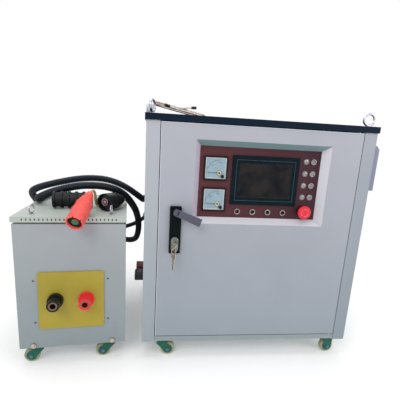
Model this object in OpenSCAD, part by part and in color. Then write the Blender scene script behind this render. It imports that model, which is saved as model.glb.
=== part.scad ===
// Induction heating machine: a power cabinet with a recessed control panel and,
// beside it, the output unit with its two cable terminals, joined by a ribbed conduit.
// Units are millimetres. The cabinet's own frame has x = 0 on its left panel, y = 0 on
// its door face with +y to the rear, and z = 0 on the floor.

/* [Cabinet] */
// Width over the side panels
cab_w = 750; // [700:10:900]
// Depth from door face to rear panel
cab_d = 600; // [540:10:800]
// Height of the shell under the top slab
cab_h = 750; // [700:10:900]
// Thickness of the sheet metal
sheet = 2; // [1.5:0.25:2.5]
// Thickness of the top slab
slab_t = 20; // [16:1:30]
// Overhang of the top slab
slab_over = 4; // [0:1:10]
// Width of the solid rim round the slab's underside
slab_rim = 30; // [26:1:50]
// Width of the fixed strips beside the door
post_w = 43; // [36:1:60]
// Depth of the return lip behind each strip
post_lip = 18; // [12:1:22]
// Height of the fixed rail under the door
rail_h = 18; // [14:1:26]
// Step from the strips' lower ends up to the rail
rail_lift = 3; // [0:1:6]
// Running gap round the door
door_gap = 2.5; // [2:0.25:4]
// Depth of the door's folded edge
door_fold = 20; // [16:1:22]

/* [Door hinge] */
// Radius of the two door pivots
pivot_r = 4; // [3:0.5:5]
// Pivot centre, in from the door's edge
pivot_in = 13; // [12:0.5:16]
// Pivot centre, behind the door's face
pivot_deep = 8; // [7:0.5:9]
// Clearance round each running shaft
run_gap = 0.06; // [0.02:0.01:0.1]

/* [Control panel] */
// Left edge of the recess from the cabinet's left side
recess_x = 156; // [140:1:170]
// Lower edge of the recess above the shell's underside
recess_z = 432; // [400:1:460]
// Width of the recess at the door face
recess_w = 445; // [440:1:460]
// Height of the recess at the door face
recess_h = 268; // [262:1:285]
// Depth of the recess
recess_d = 30.5; // [24:0.5:40]
// Slope of the recess walls, edge to floor
recess_draft = 17; // [10:1:20]
// Thickness of the brown panel
panel_t = 2; // [1.5:0.5:3]
// Width and height of a panel meter
meter_s = 79; // [72:1:80]
// Meter frame standing proud of the panel
meter_proud = 7; // [5:0.5:10]
// Left edge of the meters from the panel's left edge
meter_x = 14; // [10:1:18]
// Top of the upper meter below the panel's top edge
meter_top = 31; // [28:1:36]
// Step between the two meters
meter_step = 103; // [96:1:105]
// Left edge of the touch screen from the panel's left edge
screen_x = 108; // [104:1:112]
// Top of the touch screen below the panel's top edge
screen_top = 25; // [20:1:30]
// Width of the touch screen
screen_w = 228; // [200:1:230]
// Height of the touch screen
screen_h = 163; // [140:1:166]
// Screen frame standing proud of the panel
screen_proud = 6; // [4:0.5:8]
// Ring radius of a push button or lamp
button_r = 9.5; // [8:0.5:10]
// Radius of the moving button
cap_r = 6.6; // [5:0.2:7]
// Travel of a push button
button_travel = 2; // [1:0.5:3]
// Left button column from the panel's right edge
button_in = 51.5; // [47:0.5:55]
// Spacing of the two button columns
button_dx = 26.8; // [24:0.2:30]
// Upper button row below the panel's top edge
button_top = 36; // [30:1:40]
// Spacing of the button rows
button_dz = 40; // [34:1:41]
// Radius of the stop button's head
stop_r = 22; // [18:1:24]
// Travel of the stop button
stop_travel = 5; // [3:0.5:6]
// Stop button from the panel's right edge
stop_in = 48; // [41:1:51]
// Stop button above the panel's lower edge
stop_z = 29; // [26:1:32]
// Outer radius of a sensor socket
socket_r = 10; // [8:0.5:11]
// Left sensor socket from the panel's left edge
socket_x = 136; // [130:1:140]
// Spacing of the sensor sockets
socket_dx = 53.2; // [46:0.2:55]
// Sensor sockets above the panel's lower edge
socket_z = 21.5; // [16:0.5:24]

/* [Door lock] */
// Width of the lock plate
lock_w = 37; // [34:1:42]
// Height of the lock plate
lock_h = 156; // [150:1:170]
// Centre of the lock plate from the cabinet's left side
lock_x = 100; // [92:1:106]
// Lower end of the lock plate above the shell's underside
lock_z = 332; // [300:1:350]
// Lock plate standing proud of the door
lock_proud = 11; // [9:0.5:14]
// Lever pivot below the plate's upper end
lever_drop = 18; // [16:1:22]
// Length of the lever from its turning axis
lever_l = 86; // [70:1:92]
// Angle of the lever from hanging straight down
lever_turn = 70; // [0:5:90]
// Lift of the open lever off the plate
lever_lift = 14; // [8:1:25]
// Thickness of the lever
lever_t = 11; // [8:0.5:14]
// Lock cylinder above the plate's lower end
barrel_z = 30; // [28:1:34]

/* [Output unit] */
// Front centre of the unit, left of the cabinet's left side
unit_x = -225.6; // [-260:0.2:-225]
// Front centre of the unit behind the door face
unit_y = -11.9; // [-30:0.1:20]
// Turn of the unit about the vertical
unit_yaw = 5.92; // [0:0.01:8]
// Width of the unit
unit_w = 336; // [320:1:340]
// Depth of the unit
unit_d = 450; // [420:5:500]
// Height of the unit's shell
unit_h = 422; // [400:1:440]
// Shadow gap under the lid
lid_gap = 6; // [3:0.5:10]
// Height of the lid's skirt
lid_h = 17; // [14:1:24]
// Overhang of the lid
lid_over = 2.5; // [1:0.5:5]
// Number of vent slots along the lid's front
vent_count = 24; // [12:1:26]
// Spacing of the vent slots
vent_step = 12; // [10:0.5:12]
// Width of a vent slot
vent_w = 3.2; // [2:0.1:5]
// Height of a vent slot
vent_h = 7; // [5:0.5:9]
// Width of the yellow insulating plate
plate_w = 203; // [190:1:210]
// Height of the yellow insulating plate
plate_h = 197; // [180:1:210]
// Lower edge of the plate above the shell's underside
plate_z = 69; // [60:1:80]
// Thickness of the plate
plate_t = 4; // [3:0.5:6]
// Distance between the two terminals
term_dx = 95; // [85:1:110]
// Height of the terminals above the shell's underside
term_z = 171; // [160:1:180]
// Outer radius of a terminal's base
term_r = 24.5; // [22:0.5:28]
// Length of a terminal in front of the plate
term_l = 42; // [36:1:50]
// Bore radius of a terminal
bore_r = 10; // [8:0.5:12]

/* [Casters] */
// Overall height of a caster
caster_h = 70; // [66:1:80]
// Wheel radius
wheel_r = 25; // [22:1:28]
// Wheel width
wheel_w = 20; // [16:1:22]
// Axle radius
axle_r = 4; // [3:0.5:5]
// Offset of the wheel from the swivel axis
trail = 24; // [18:1:26]
// Thickness of the bracket sheet
bracket_t = 2.5; // [2:0.25:3]
// Cabinet's swivel axis in from its left side
cab_caster_in = 68; // [60:1:80]
// Cabinet's fixed wheels in from its right side
cab_fixed_in = 46; // [42:1:60]
// Cabinet's casters in from its front and rear
cab_caster_y = 34; // [32:1:60]
// Unit's casters either side of its middle
unit_caster_x = 117; // [90:1:130]
// Unit's casters in from its front and rear
unit_caster_y = 36; // [34:1:60]

/* [Sockets, eyes and vents] */
// Radius of a side socket
side_r = 18.5; // [16:0.5:20]
// Length of a side socket
side_l = 28; // [24:1:32]
// Front side socket behind the door face
side_y = 27; // [26:1:32]
// Spacing of the side sockets
side_dy = 75; // [50:1:90]
// Height of the side sockets above the shell's underside
side_z = 240; // [200:5:260]
// Outer radius of a cabinet lifting eye
eye_r = 22.5; // [20:0.5:25]
// Wire radius of a cabinet lifting eye
eye_wire = 4; // [3:0.5:5]
// Outer radius of a small lifting eye on the unit
small_eye_r = 15; // [12:0.5:18]
// Wire radius of a small lifting eye
small_eye_wire = 2.5; // [2:0.25:3]
// Hood standing out from the right side
hood_t = 30; // [20:1:40]
// Height of the hood
hood_h = 152; // [130:2:170]
// Length of the hood front to rear
hood_l = 300; // [250:10:340]
// Front end of the hood behind the door face
hood_y = 20; // [20:1:40]
// Lower edge of the hood above the shell's underside
hood_z = 560; // [520:5:570]
// Radius of the rear fan's opening
fan_r = 100; // [90:2:110]
// Depth of the fan's frame
fan_l = 60; // [50:2:80]
// Number of fan blades
fan_blades = 7; // [5:1:9]

/* [Conduit and leads] */
// Diameter of the ribbed conduit
conduit_d = 28; // [24:1:30]
// Number of ribs drawn along the conduit
conduit_ribs = 120; // [60:10:180]
// Depth of a rib
rib_deep = 1.6; // [1:0.2:2.5]
// Wall of the conduit
conduit_wall = 2; // [1:0.25:3]
// Diameter of the link cable
link_d = 20; // [16:1:22]
// Diameter of the short lead between the plugs
jumper_d = 9; // [8:0.5:12]
// Diameter of a braided sensor lead
sensor_d = 5; // [4:0.5:6]
// Loops in the hank of sensor lead
hank_loops = 6; // [4:1:8]
// Radius of a large cable plug at its mouth
plug_r = 26; // [24:0.5:28]

/* [Hidden] */
$fn = 48;
// Overrun of every cut
over = 1;
// Clearance round a fixed piece in its hole, and between moving faces
seat_gap = 0.1;
face_gap = 0.3;

// Levels and edges of the cabinet
cab_z = caster_h;
cab_top = cab_z + cab_h;
slab_top = cab_top + slab_t;
rail_top = cab_z + rail_lift + rail_h;
door_x0 = post_w + door_gap;
door_x1 = cab_w - post_w - door_gap;
door_z0 = rail_top + door_gap;
door_z1 = cab_top - door_gap;
pivot_x = door_x1 - pivot_in;
recess_low = cab_z + recess_z;
panel_x = recess_x + recess_draft;
panel_z = recess_low + recess_draft;
panel_w = recess_w - 2 * recess_draft;
panel_h = recess_h - 2 * recess_draft;
panel_top = panel_z + panel_h;
// Lip behind the panel, and the rear folds of the side panels
seat_lip = 7;
rear_fold = 20;
// Return lip's set-back from its strip's edge, clear of the door's swing
lip_back = 5;
// Depth of a pivot pin in its slab or rail, and the bush round it in the door
pin_seat = 12;
bush_r = 8;
bush_l = 12;
// Floor sheet of the tray and its upright angles
tray_wall = 24;
upright_w = 30;
upright_x_shares = [0.3, 0.7];
upright_y = 400;
upright_l = 620;

// Rear fan
fan_up = 530;
fan_z = cab_z + fan_up;
fan_x = cab_w / 2;
fan_border = 10;
fan_hub_r = 32;
fan_shaft_r = 5;
fan_tip_gap = 4;
fan_strut = 6;
motor_l = 22;
guard_wire = 1.6;
guard_foot_r = 4;
guard_rings = 4;
blade_t = 3;
blade_w = 40;
blade_pitch = 38;

// Cable glands: height over the rear panel, bores and places
gland_l = 22;
gland_nut = 8;
gland_rim = 5;
gland_tail = 10;
cab_conduit_at = [95, 455];
cab_link_at = [70, 410];
inlet_at = [600, 160];
inlet_d = 24;
unit_conduit_at = [-100, 400];
unit_link_at = [100, 330];
// Cord ends from the wall that carries their gland
gland_out = gland_l + 2 * face_gap;

// Eyes
eye_in = 17;
eye_y = 30;
eye_collar_r = 9;
eye_collar_h = 4;
eye_shank_r = 5;
eye_turns = [70, 0, 30, 60];
small_eye_x = 121;
small_eye_y = 40;
small_collar_r = 6;
small_collar_h = 3;
small_shank_r = 3;
small_shank_l = 10;
small_eye_turns = [75, 80, 90, 90];

// Side sockets, and the side panel's vents under the hood
side_bore = 7;
side_thread = 12;
side_nut = 8;
socket_base = 3;
hood_wall = 1.5;
hood_slope = 12;
louvre_count = 8;
louvre_h = 6;

// Control pieces
meter_rim = 5;
meter_pocket = 5.2;
meter_body_r = 31;
meter_body_l = 45;
meter_pivot_share = [0.66, 0.31];
meter_screw_share = [0.79, 0.17];
meter_screw_r = 5;
meter_pin_r = 1;
needle_l = 37;
needle_w = 1.4;
needle_t = 0.6;
needle_hub_r = 3;
needle_tail = 7;
pane_t = 1;
screen_step = 13;
screen_step_deep = 1.2;
screen_pane = [178, 112];
screen_pane_deep = 1.6;
screen_body_in = 7;
screen_body_l = 36;
ring_proud = 2.5;
ring_body_r = 8;
ring_body_l = 24;
cap_proud = 3.4;
cap_l = 12;
cap_round = 0.8;
stop_base_r = 18;
stop_base_h = 3;
stop_collar_r = 12;
stop_collar_h = 10;
stop_proud = 30;
stop_head_t = 12;
stop_stem_r = 6;
stop_body_r = 11;
stop_body_l = 34;
stop_stem_end = 15;
socket_proud = 4;
socket_bore = 6.5;
socket_pin_r = 2.2;
socket_body_r = 8;
socket_body_l = 20;

// Lock: hub, its cross pin, the lever on it, the inner cam and the key
lever_z = cab_z + lock_z + lock_h - lever_drop;
hub_r = 8;
hub_head_w = 13;
hub_head_l = 7;
hub_head_h = 11;
lever_pin_r = 2.5;
lever_pin_y = 6;
lever_root_w = 21;
lever_tip_w = 24;
lever_root_r = 5.4;
lever_slot = 11;
cam_l = 64;
cam_w = 16;
cam_t = 3;
cam_y = 24;
key_z = cab_z + lock_z + barrel_z;
key_r = 6;
key_proud = 1.5;
key_blade = [2, 7, 8];
key_bow = [2.2, 20, 18];
key_hole_r = 3;
key_turn = 35;
ring_r = 9;
ring_wire = 0.9;
spare_l = 54;
oval_w = 22;
oval_h = 40;
oval_t = 2;
lock_round = 3;

// Unit: its levels, terminals and inner pieces
unit_z = caster_h;
unit_top = unit_z + unit_h;
lid_low = unit_top + lid_gap;
lid_top = lid_low + lid_h;
shell_fold = 14;
lid_rim_in = 8;
vent_low = 6;
plate_mid = -2.2;
plate_round = 9;
rivet_r = 3;
rivet_h = 1.5;
rivet_out = 12.7;
rivet_z = [93, 238];
term_mid = -3.5;
term_front_r = 19.5;
term_base_l = 14;
term_ring_r = 15;
sleeve_l = 34;
stud_r = 7;
stud_l = 28;
caster_bolt_x = 125;
caster_bolt_z = 9;
caster_bolt_r = 5;
caster_washer_r = 8;
core_side = 53;
core_w = unit_w - 2 * core_side;
core_h = 260;
core_d = 80;
core_leg = 46;
coil_t = 26;
coil_h = 130;
core_y = 230;

// Casters
mount_w = 44;
race_r = 17;
race_h = 8;
king_r = 4;
king_head_r = 7;
king_head_h = 3;
crown_r = 17;
fork_gap = 1.5;
axle_boss = 8;
cap_boss_r = 6;
cap_boss_h = 2.5;
tread_round = 4;
hub_in = 3;
hub_boss_r = 9;
hub_out = 8;

// Plugs on the unit's lid: ends of their axes in the unit's own frame
red_mouth = [22, -65, 511];
red_neck = [52, 60, 579];
black_mouth = [95, 88, 547];
black_tail = [148, 172, 543.5];
boot_from = [-78, 142, 545];
boot_to = [50, 142, 545];
boot_r = 29;
plug_core_r = 10;
plug_wall = 4;
plug_deep = 32;
plug_neck_r = 11;
plug_ribs = 4;

// Hank of sensor lead and its end pieces
hank_l = 185;
hank_w = 62;
hank_tilt = 11.6;
hank_from = [12, 60];
// Free ends of the lead, in the hank's own frame
hank_tail_a = [[-34, -38, 0], [-26, -34.5, 0], [-18, -31.5, 0], [-9, -29.2, 0]];
hank_tail_b = [[9, -28.4, 7.2], [18, -27.5, 10.4], [27, -25, 13.8], [36, -21, 16.5]];
hank_rings = 24;
hank_pitch_share = 1.14;
grey_r = 18;
grey_l = 22;
grey_at = [-4, 92];
lead_cap_r = 4.5;
lead_cap_l = 16;

// Origin: middle of the rigid object's outline on the floor
left_reach = unit_x - (unit_w / 2 + lid_over) * cos(unit_yaw) - (unit_d + lid_over) * sin(unit_yaw);
right_reach = cab_w + hood_t;
black_x = term_mid - term_dx / 2;
front_reach = unit_y + black_x * sin(unit_yaw) - (plate_t + term_l) * cos(unit_yaw)
  - term_front_r * sin(unit_yaw);
rear_reach = cab_d + gland_l;
origin_x = (left_reach + right_reach) / 2;
origin_y = (front_reach + rear_reach) / 2;

// Places of the eyes and of the casters
cab_eyes = [[eye_in, eye_y], [cab_w - eye_in, eye_y],
  [eye_in, cab_d - eye_y], [cab_w - eye_in, cab_d - eye_y]];
unit_eyes = [[-small_eye_x, small_eye_y], [small_eye_x, small_eye_y],
  [-small_eye_x, unit_d - small_eye_y], [small_eye_x, unit_d - small_eye_y]];
cab_front_swivel = [cab_caster_in, cab_caster_y];
cab_rear_swivel = [cab_caster_in, cab_d - cab_caster_y];
cab_front_fixed = [cab_w - cab_fixed_in, cab_caster_y];
cab_rear_fixed = [cab_w - cab_fixed_in, cab_d - cab_caster_y];
unit_left_swivel = [-unit_caster_x, unit_caster_y];
unit_right_swivel = [unit_caster_x, unit_caster_y];
unit_left_fixed = [-unit_caster_x, unit_d - unit_caster_y];
unit_right_fixed = [unit_caster_x, unit_d - unit_caster_y];

// Route of the conduit in the cabinet's frame, from the cabinet's rear gland twice over
// the unit's lid to the unit's rear gland
conduit_route = [[95, cab_d + gland_out, 455], [95, cab_d + 52, 455], [84, cab_d + 92, 457],
  [54, cab_d + 118, 460], [14, cab_d + 118, 464], [-16, cab_d + 94, 470],
  [-30, cab_d + 54, 476], [-33, 600, 482], [-31, 530, 490],
  [-29, 470, 497], [-35, 425, 511], [-57, 392, 534], [-97, 372, 564], [-142, 361, 586],
  [-191, 353, 598], [-245, 343, 600], [-296, 333, 595], [-350, 320, 584],
  [-400, 308, 571], [-444, 308, 555], [-472, 334, 535], [-480, 380, 502],
  [-474, 430, 462], [-456, 484, 418], [-424, 530, 376], [-376, 556, 340],
  [-320, 564, 314], [-260, 562, 298], [-200, 552, 288], [-150, 536, 283],
  [-113, 519, 283], [-84, 504, 287], [-61, 486, 303], [-49, 459, 341], [-45, 426, 388],
  [-48, 374, 441], [-56, 300, 491], [-80, 224, 546], [-112, 181, 577], [-151, 168, 590],
  [-190, 163, 593], [-232, 161, 591], [-280, 160, 582], [-330, 160, 567],
  [-370, 168, 549], [-393, 188, 536], [-403, 226, 530], [-408, 280, 530],
  [-412, 340, 531], [-412, 400, 532], [-406, 444, 531], [-400, 480, 523],
  [-394, 510, 500], [-388, 524, 468], [-383, 524, 434], [-379, 505, 409],
  from_unit([unit_conduit_at[0], unit_d + 50, unit_conduit_at[1]]),
  from_unit([unit_conduit_at[0], unit_d + gland_out, unit_conduit_at[1]])];
link_route = [[70, cab_d + gland_out, 410], [70, cab_d + 46, 410], [60, cab_d + 76, 407],
  [34, cab_d + 94, 403], [4, cab_d + 88, 399], [-17, cab_d + 62, 396], [-24, cab_d + 20, 393],
  [-26, 570, 388], [-42, 542, 380],
  [-75, 532, 362], [-112, 532, 348], [-146, 528, 338], [-168, 512, 333],
  from_unit([unit_link_at[0], unit_d + 42, unit_link_at[1]]),
  from_unit([unit_link_at[0], unit_d + gland_out, unit_link_at[1]])];
jumper_route = [[52, 60, 579], [55, 71, 584.5], [60, 92, 585], [63, 112, 572],
  [63, 130, 549], [64, 150, 530], [66, 172, 522], [74, 194, 520.5], [94, 205, 520],
  [118, 207, 520.5], [138, 206, 523.5], [153, 202, 530], [160.5, 195.5, 537.5],
  [159, 188.5, 542], [154.4, 182.1, 543.1], [148, 172, 543.5]];
// Rings along each tube
conduit_bore_rings = 70;
link_rings = 40;
jumper_rings = 30;
tube_sides = 8;
hank_sides = 6;
smooth_steps = 8;

// Curve and tube helpers
function from_unit(p) = [unit_x + p[0] * cos(unit_yaw) - p[1] * sin(unit_yaw),
  unit_y + p[0] * sin(unit_yaw) + p[1] * cos(unit_yaw), p[2]];
function unit(v) = v / norm(v);
function blend4(a, b, c, d, t) =
  (2 * b + (c - a) * t + (2 * a - 5 * b + 4 * c - d) * t * t
  + (3 * b - a - 3 * c + d) * t * t * t) / 2;
function curve(path, steps) = [
  for (i = [0 : len(path) - 2])
    for (j = [0 : steps - 1])
      blend4(path[max(i - 1, 0)], path[i], path[i + 1],
        path[min(i + 2, len(path) - 1)], j / steps),
  path[len(path) - 1]];
function runs(pts) = [
  for (i = 0, s = 0; i < len(pts);
    i = i + 1, s = i < len(pts) ? s + norm(pts[i] - pts[i - 1]) : s) s];
function even(pts, count) =
  let (run = runs(pts), total = run[len(run) - 1],
    rows = [for (a = [0 : 2]) [for (i = [0 : len(pts) - 1]) [run[i], pts[i][a]]]])
  [for (k = [0 : count - 1]) [for (a = [0 : 2]) lookup(total * k / (count - 1), rows[a])]];
function heading(pts, i) = unit(pts[min(i + 1, len(pts) - 1)] - pts[max(i - 1, 0)]);
function side_of(v) = unit(cross(v, abs(v[2]) < 0.9 ? [0, 0, 1] : [1, 0, 0]));
function carry(n, v) = unit(n - (n * v) * v);
function sides_of(pts) = [
  for (i = 0, n = side_of(heading(pts, 0)); i < len(pts);
    i = i + 1, n = i < len(pts) ? carry(n, heading(pts, i)) : n) n];
function ring_at(c, v, n, r, count) = [
  for (j = [0 : count - 1])
    c + r * (cos(360 * j / count) * n + sin(360 * j / count) * cross(v, n))];
function skin(rings, count, first, flip) = [
  for (i = [0 : rings - 2]) for (j = [0 : count - 1])
    let (a = first + i * count + j, b = first + i * count + (j + 1) % count,
      c = b + count, d = a + count)
    each flip ? [[a, c, b], [a, d, c]] : [[a, b, c], [a, c, d]]];

// Solid tube through given ring centres, and one along a smooth path
module strand(pts, d, count) {
  n = sides_of(pts);
  rings = len(pts);
  last = (rings - 1) * count;
  polyhedron([for (i = [0 : rings - 1]) each ring_at(pts[i], heading(pts, i), n[i], d / 2, count)],
    concat(skin(rings, count, 0, false), [for (j = [1 : count - 2]) [0, j + 1, j]],
      [for (j = [1 : count - 2]) [last, last + j, last + j + 1]]));
}
module tube(path, d, rings, count) { strand(even(curve(path, smooth_steps), rings), d, count); }

// Ribbed tube with a bore, along a smooth path
module ribbed_tube(path, d, deep, wall, ribs, bore_rings, count) {
  dense = curve(path, smooth_steps);
  rings = 2 * ribs;
  pts = even(dense, rings);
  n = sides_of(pts);
  inner = even(dense, bore_rings);
  m = sides_of(inner);
  outer_verts = [for (i = [0 : rings - 1])
    each ring_at(pts[i], heading(pts, i), n[i], d / 2 - (i % 2) * deep, count)];
  inner_verts = [for (i = [0 : bore_rings - 1])
    each ring_at(inner[i], heading(inner, i), m[i], d / 2 - deep - wall, count)];
  first = rings * count;
  last_outer = (rings - 1) * count;
  last_inner = first + (bore_rings - 1) * count;
  end_a = [for (j = [0 : count - 1]) let (k = (j + 1) % count)
    each [[j, first + j, first + k], [j, first + k, k]]];
  end_b = [for (j = [0 : count - 1]) let (k = (j + 1) % count)
    each [[last_outer + j, last_outer + k, last_inner + k],
      [last_outer + j, last_inner + k, last_inner + j]]];
  polyhedron(concat(outer_verts, inner_verts),
    concat(skin(rings, count, 0, false), skin(bore_rings, count, first, true),
      end_a, end_b));
}

// Frames, shared shapes and small helpers
module place() { translate([-origin_x, -origin_y, 0]) children(); }
module unit_place() { place() translate([unit_x, unit_y, 0]) rotate([0, 0, unit_yaw]) children(); }
// Turns a shape drawn along +z so that it runs rearwards from a front face
module rearwards() { rotate([-90, 0, 0]) children(); }
module forwards() { rotate([90, 0, 0]) children(); }
// Lays a shape drawn along +z from one point towards another
module aimed(from, to) {
  d = to - from;
  translate(from)
    rotate([0, acos(d[2] / norm(d)), atan2(d[1], d[0])]) children();
}
module round_plate(w, h, t, r) {
  linear_extrude(t) union() {
    translate([r, 0]) square([w - 2 * r, h]);
    translate([0, r]) square([w, h - 2 * r]);
    for (x = [r, w - r], y = [r, h - r]) translate([x, y]) circle(r = r);
  }
}

// Cabinet
module base_tray() {
  color("lightgray") place() difference() {
    union() {
      difference() {
        translate([sheet, sheet, cab_z + rail_lift])
          cube([cab_w - 2 * sheet, cab_d - 3 * sheet, tray_wall]);
        translate([2 * sheet, 2 * sheet, cab_z + rail_lift + sheet])
          cube([cab_w - 4 * sheet, cab_d - 5 * sheet, tray_wall]);
        translate([0, -over, rail_top]) cube([cab_w, door_fold + over, tray_wall]);
      }
      difference() {
        translate([post_w + sheet, 0, cab_z + rail_lift])
          cube([cab_w - 2 * post_w - 2 * sheet, door_fold, rail_h]);
        translate([post_w + 2 * sheet, sheet, cab_z + rail_lift - over])
          cube([cab_w - 2 * post_w - 4 * sheet, door_fold - 2 * sheet,
            rail_h - sheet + over]);
      }
      for (s = upright_x_shares) upright(s);
    }
    translate([pivot_x, pivot_deep, rail_top - pin_seat]) cylinder(r = pivot_r + seat_gap, h = cab_h);
  }
}
module upright(s) {
  translate([s * cab_w - upright_w / 2, upright_y, cab_z + rail_lift + sheet]) difference() {
    cube([upright_w, upright_w, upright_l]);
    translate([sheet, -over, -over])
      cube([upright_w - 2 * sheet, upright_w - sheet + over, upright_l + 2 * over]);
  }
}
// One side panel, drawn as the left one: sheet, front strip with its lip, rear fold, top fold
module side_shell() {
  cube([sheet, cab_d - sheet, cab_h]);
  cube([post_w, sheet, cab_h]);
  translate([post_w - lip_back, 0, rail_lift + tray_wall])
    cube([sheet, sheet + post_lip, cab_h - rail_lift - tray_wall]);
  translate([0, cab_d - 2 * sheet, 0]) cube([rear_fold, sheet, cab_h]);
  translate([0, 0, cab_h - sheet]) cube([rear_fold, cab_d - sheet, sheet]);
}
module left_side_panel() {
  color([0.68, 0.7, 0.74]) place() translate([0, 0, cab_z]) difference() {
    side_shell();
    for (i = [0, 1]) translate([-over, side_y + i * side_dy, side_z])
      rotate([0, 90, 0]) cylinder(r = side_thread + seat_gap, h = sheet + 2 * over);
    for (p = cab_eyes) if (p[0] < cab_w / 2)
      translate([p[0], p[1], 0]) cylinder(r = eye_shank_r + seat_gap, h = cab_h + over);
  }
}
module right_side_panel() {
  color([0.68, 0.7, 0.74]) place() translate([cab_w, 0, cab_z]) mirror([1, 0, 0]) difference() {
    side_shell();
    for (i = [0 : louvre_count - 1])
      translate([-over, hood_y + 2 * louvre_h + rear_fold,
        hood_z + hood_slope + i * (hood_h - 2 * hood_slope) / louvre_count])
        cube([sheet + 2 * over, hood_l - 4 * louvre_h - rear_fold, louvre_h]);
    for (p = cab_eyes) if (p[0] > cab_w / 2)
      translate([cab_w - p[0], p[1], 0]) cylinder(r = eye_shank_r + seat_gap, h = cab_h + over);
  }
}
module rear_panel() {
  color([0.66, 0.68, 0.72]) place() difference() {
    translate([0, cab_d - sheet, cab_z]) cube([cab_w, sheet, cab_h]);
    translate([fan_x, cab_d - sheet - over, fan_z]) rearwards()
      cylinder(r = fan_r, h = sheet + 2 * over);
    for (g = [cab_conduit_at, cab_link_at])
      translate([g[0], cab_d - sheet - over, g[1]]) rearwards()
        cylinder(r = thread_of(g == cab_conduit_at ? conduit_d : link_d) + seat_gap,
          h = sheet + 2 * over);
    translate([inlet_at[0], cab_d - sheet - over, inlet_at[1]]) rearwards()
      cylinder(r = thread_of(inlet_d) + seat_gap, h = sheet + 2 * over);
    for (i = [0 : louvre_count - 1], s = upright_x_shares)
      translate([s * cab_w - fan_r / 2, cab_d - sheet - over,
        cab_z + 3 * tray_wall + 2 * i * louvre_h])
        cube([fan_r, sheet + 2 * over, louvre_h]);
  }
}
module top_slab() {
  color([0.11, 0.17, 0.24]) place() difference() {
    translate([-slab_over, -slab_over, cab_top])
      cube([cab_w + 2 * slab_over, cab_d + 2 * slab_over, slab_t]);
    translate([slab_rim, slab_rim, cab_top - over])
      cube([cab_w - 2 * slab_rim, cab_d - 2 * slab_rim, slab_t - sheet + over]);
    for (p = cab_eyes) translate([p[0], p[1], cab_top - over])
      cylinder(r = eye_shank_r + seat_gap, h = slab_t + 2 * over);
    translate([pivot_x, pivot_deep, cab_top - over])
      cylinder(r = pivot_r + seat_gap, h = pin_seat + over);
  }
}
module side_hood() {
  color([0.68, 0.7, 0.76]) place() translate([cab_w, hood_y, cab_z + hood_z]) difference() {
    hood_block(hood_t, hood_h, hood_l, 0);
    translate([-over, hood_wall, 0]) hood_block(hood_t - hood_wall + over,
      hood_h - hood_wall, hood_l - 2 * hood_wall, over);
  }
}
module hood_block(t, h, l, below) {
  translate([0, l, 0]) rotate([90, 0, 0]) linear_extrude(l)
    polygon([[0, -below], [t, -below], [t, h - hood_slope], [t - hood_slope, h], [0, h]]);
}
module eye(r, wire, collar_r, collar_h, shank_r, shank_l, turn) {
  rotate([0, 0, turn]) {
    translate([0, 0, -shank_l]) cylinder(r = shank_r, h = shank_l + collar_h);
    cylinder(r = collar_r, h = collar_h);
    translate([0, 0, collar_h + r - wire / 2]) rotate([90, 0, 0])
      rotate_extrude() translate([r - wire, 0]) circle(r = wire, $fn = 16);
  }
}
module lifting_eyes() {
  color([0.72, 0.72, 0.76]) {
    place() for (i = [0 : len(cab_eyes) - 1])
      translate([cab_eyes[i][0], cab_eyes[i][1], slab_top])
        eye(eye_r, eye_wire, eye_collar_r, eye_collar_h, eye_shank_r, slab_t + sheet,
          eye_turns[i]);
    unit_place() for (i = [0 : len(unit_eyes) - 1])
      translate([unit_eyes[i][0], unit_eyes[i][1], lid_top])
        eye(small_eye_r, small_eye_wire, small_collar_r, small_collar_h, small_shank_r,
          small_shank_l, small_eye_turns[i]);
  }
}
module hinge_pins() {
  color("silver") place() translate([pivot_x, pivot_deep, 0]) {
    translate([0, 0, door_z1 - bush_l - sheet])
      cylinder(r = pivot_r, h = cab_top + pin_seat - door_z1 + bush_l + sheet);
    translate([0, 0, rail_top - pin_seat])
      cylinder(r = pivot_r, h = pin_seat + door_gap + bush_l + sheet);
    translate([0, 0, rail_top]) cylinder(r = bush_r, h = door_gap - face_gap);
  }
}

// Inside the cabinet
sink_x0 = upright_x_shares[0] * cab_w;
sink_w = (upright_x_shares[1] - upright_x_shares[0]) * cab_w;
sink_up = 380;
sink_z = cab_z + sink_up;
sink_h = 260;
sink_base = 10;
sink_fin_l = 50;
sink_fins = 16;
fin_t = 3;
module_box = [70, 34, 120];
module_count = 3;
module_tab = [16, 6, 90];
cap_can_r = 34;
cap_can_h = 120;
cap_can_count = 5;
cap_can_y = 480;
breaker_box = [90, 70, 140];
breaker_face = [30, 8, 44];
module heatsink() {
  color("gainsboro") place() translate([sink_x0 - upright_w / 2, upright_y - sink_base, sink_z]) {
    cube([sink_w + upright_w, sink_base, sink_h]);
    for (i = [0 : sink_fins - 1])
      translate([upright_w + fin_t + i * (sink_w - upright_w - 3 * fin_t) / (sink_fins - 1),
        sink_base, 0]) cube([fin_t, sink_fin_l, sink_h]);
  }
}
module power_modules() {
  color([0.2, 0.22, 0.26]) place() {
    for (i = [0 : module_count - 1])
      translate([sink_x0 + (i + 0.5) * sink_w / module_count - module_box[0] / 2,
        upright_y - sink_base - module_box[1], sink_z + (sink_h - module_box[2]) / 2])
      union() {
        cube(module_box);
        translate([(module_box[0] - module_tab[0]) / 2, -module_tab[1],
          (module_box[2] - module_tab[2]) / 2]) cube(module_tab);
      }
    for (i = [0 : cap_can_count - 1])
      translate([sink_x0 + i * sink_w / (cap_can_count - 1), cap_can_y,
        cab_z + rail_lift + sheet]) capacitor();
    translate([sink_x0 - breaker_box[0] / 2, upright_y - breaker_box[1],
      sink_z - breaker_box[2] - sheet]) union() {
      cube(breaker_box);
      translate([(breaker_box[0] - breaker_face[0]) / 2, -breaker_face[1],
        (breaker_box[2] - breaker_face[2]) / 2]) cube(breaker_face);
    }
  }
}
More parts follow.
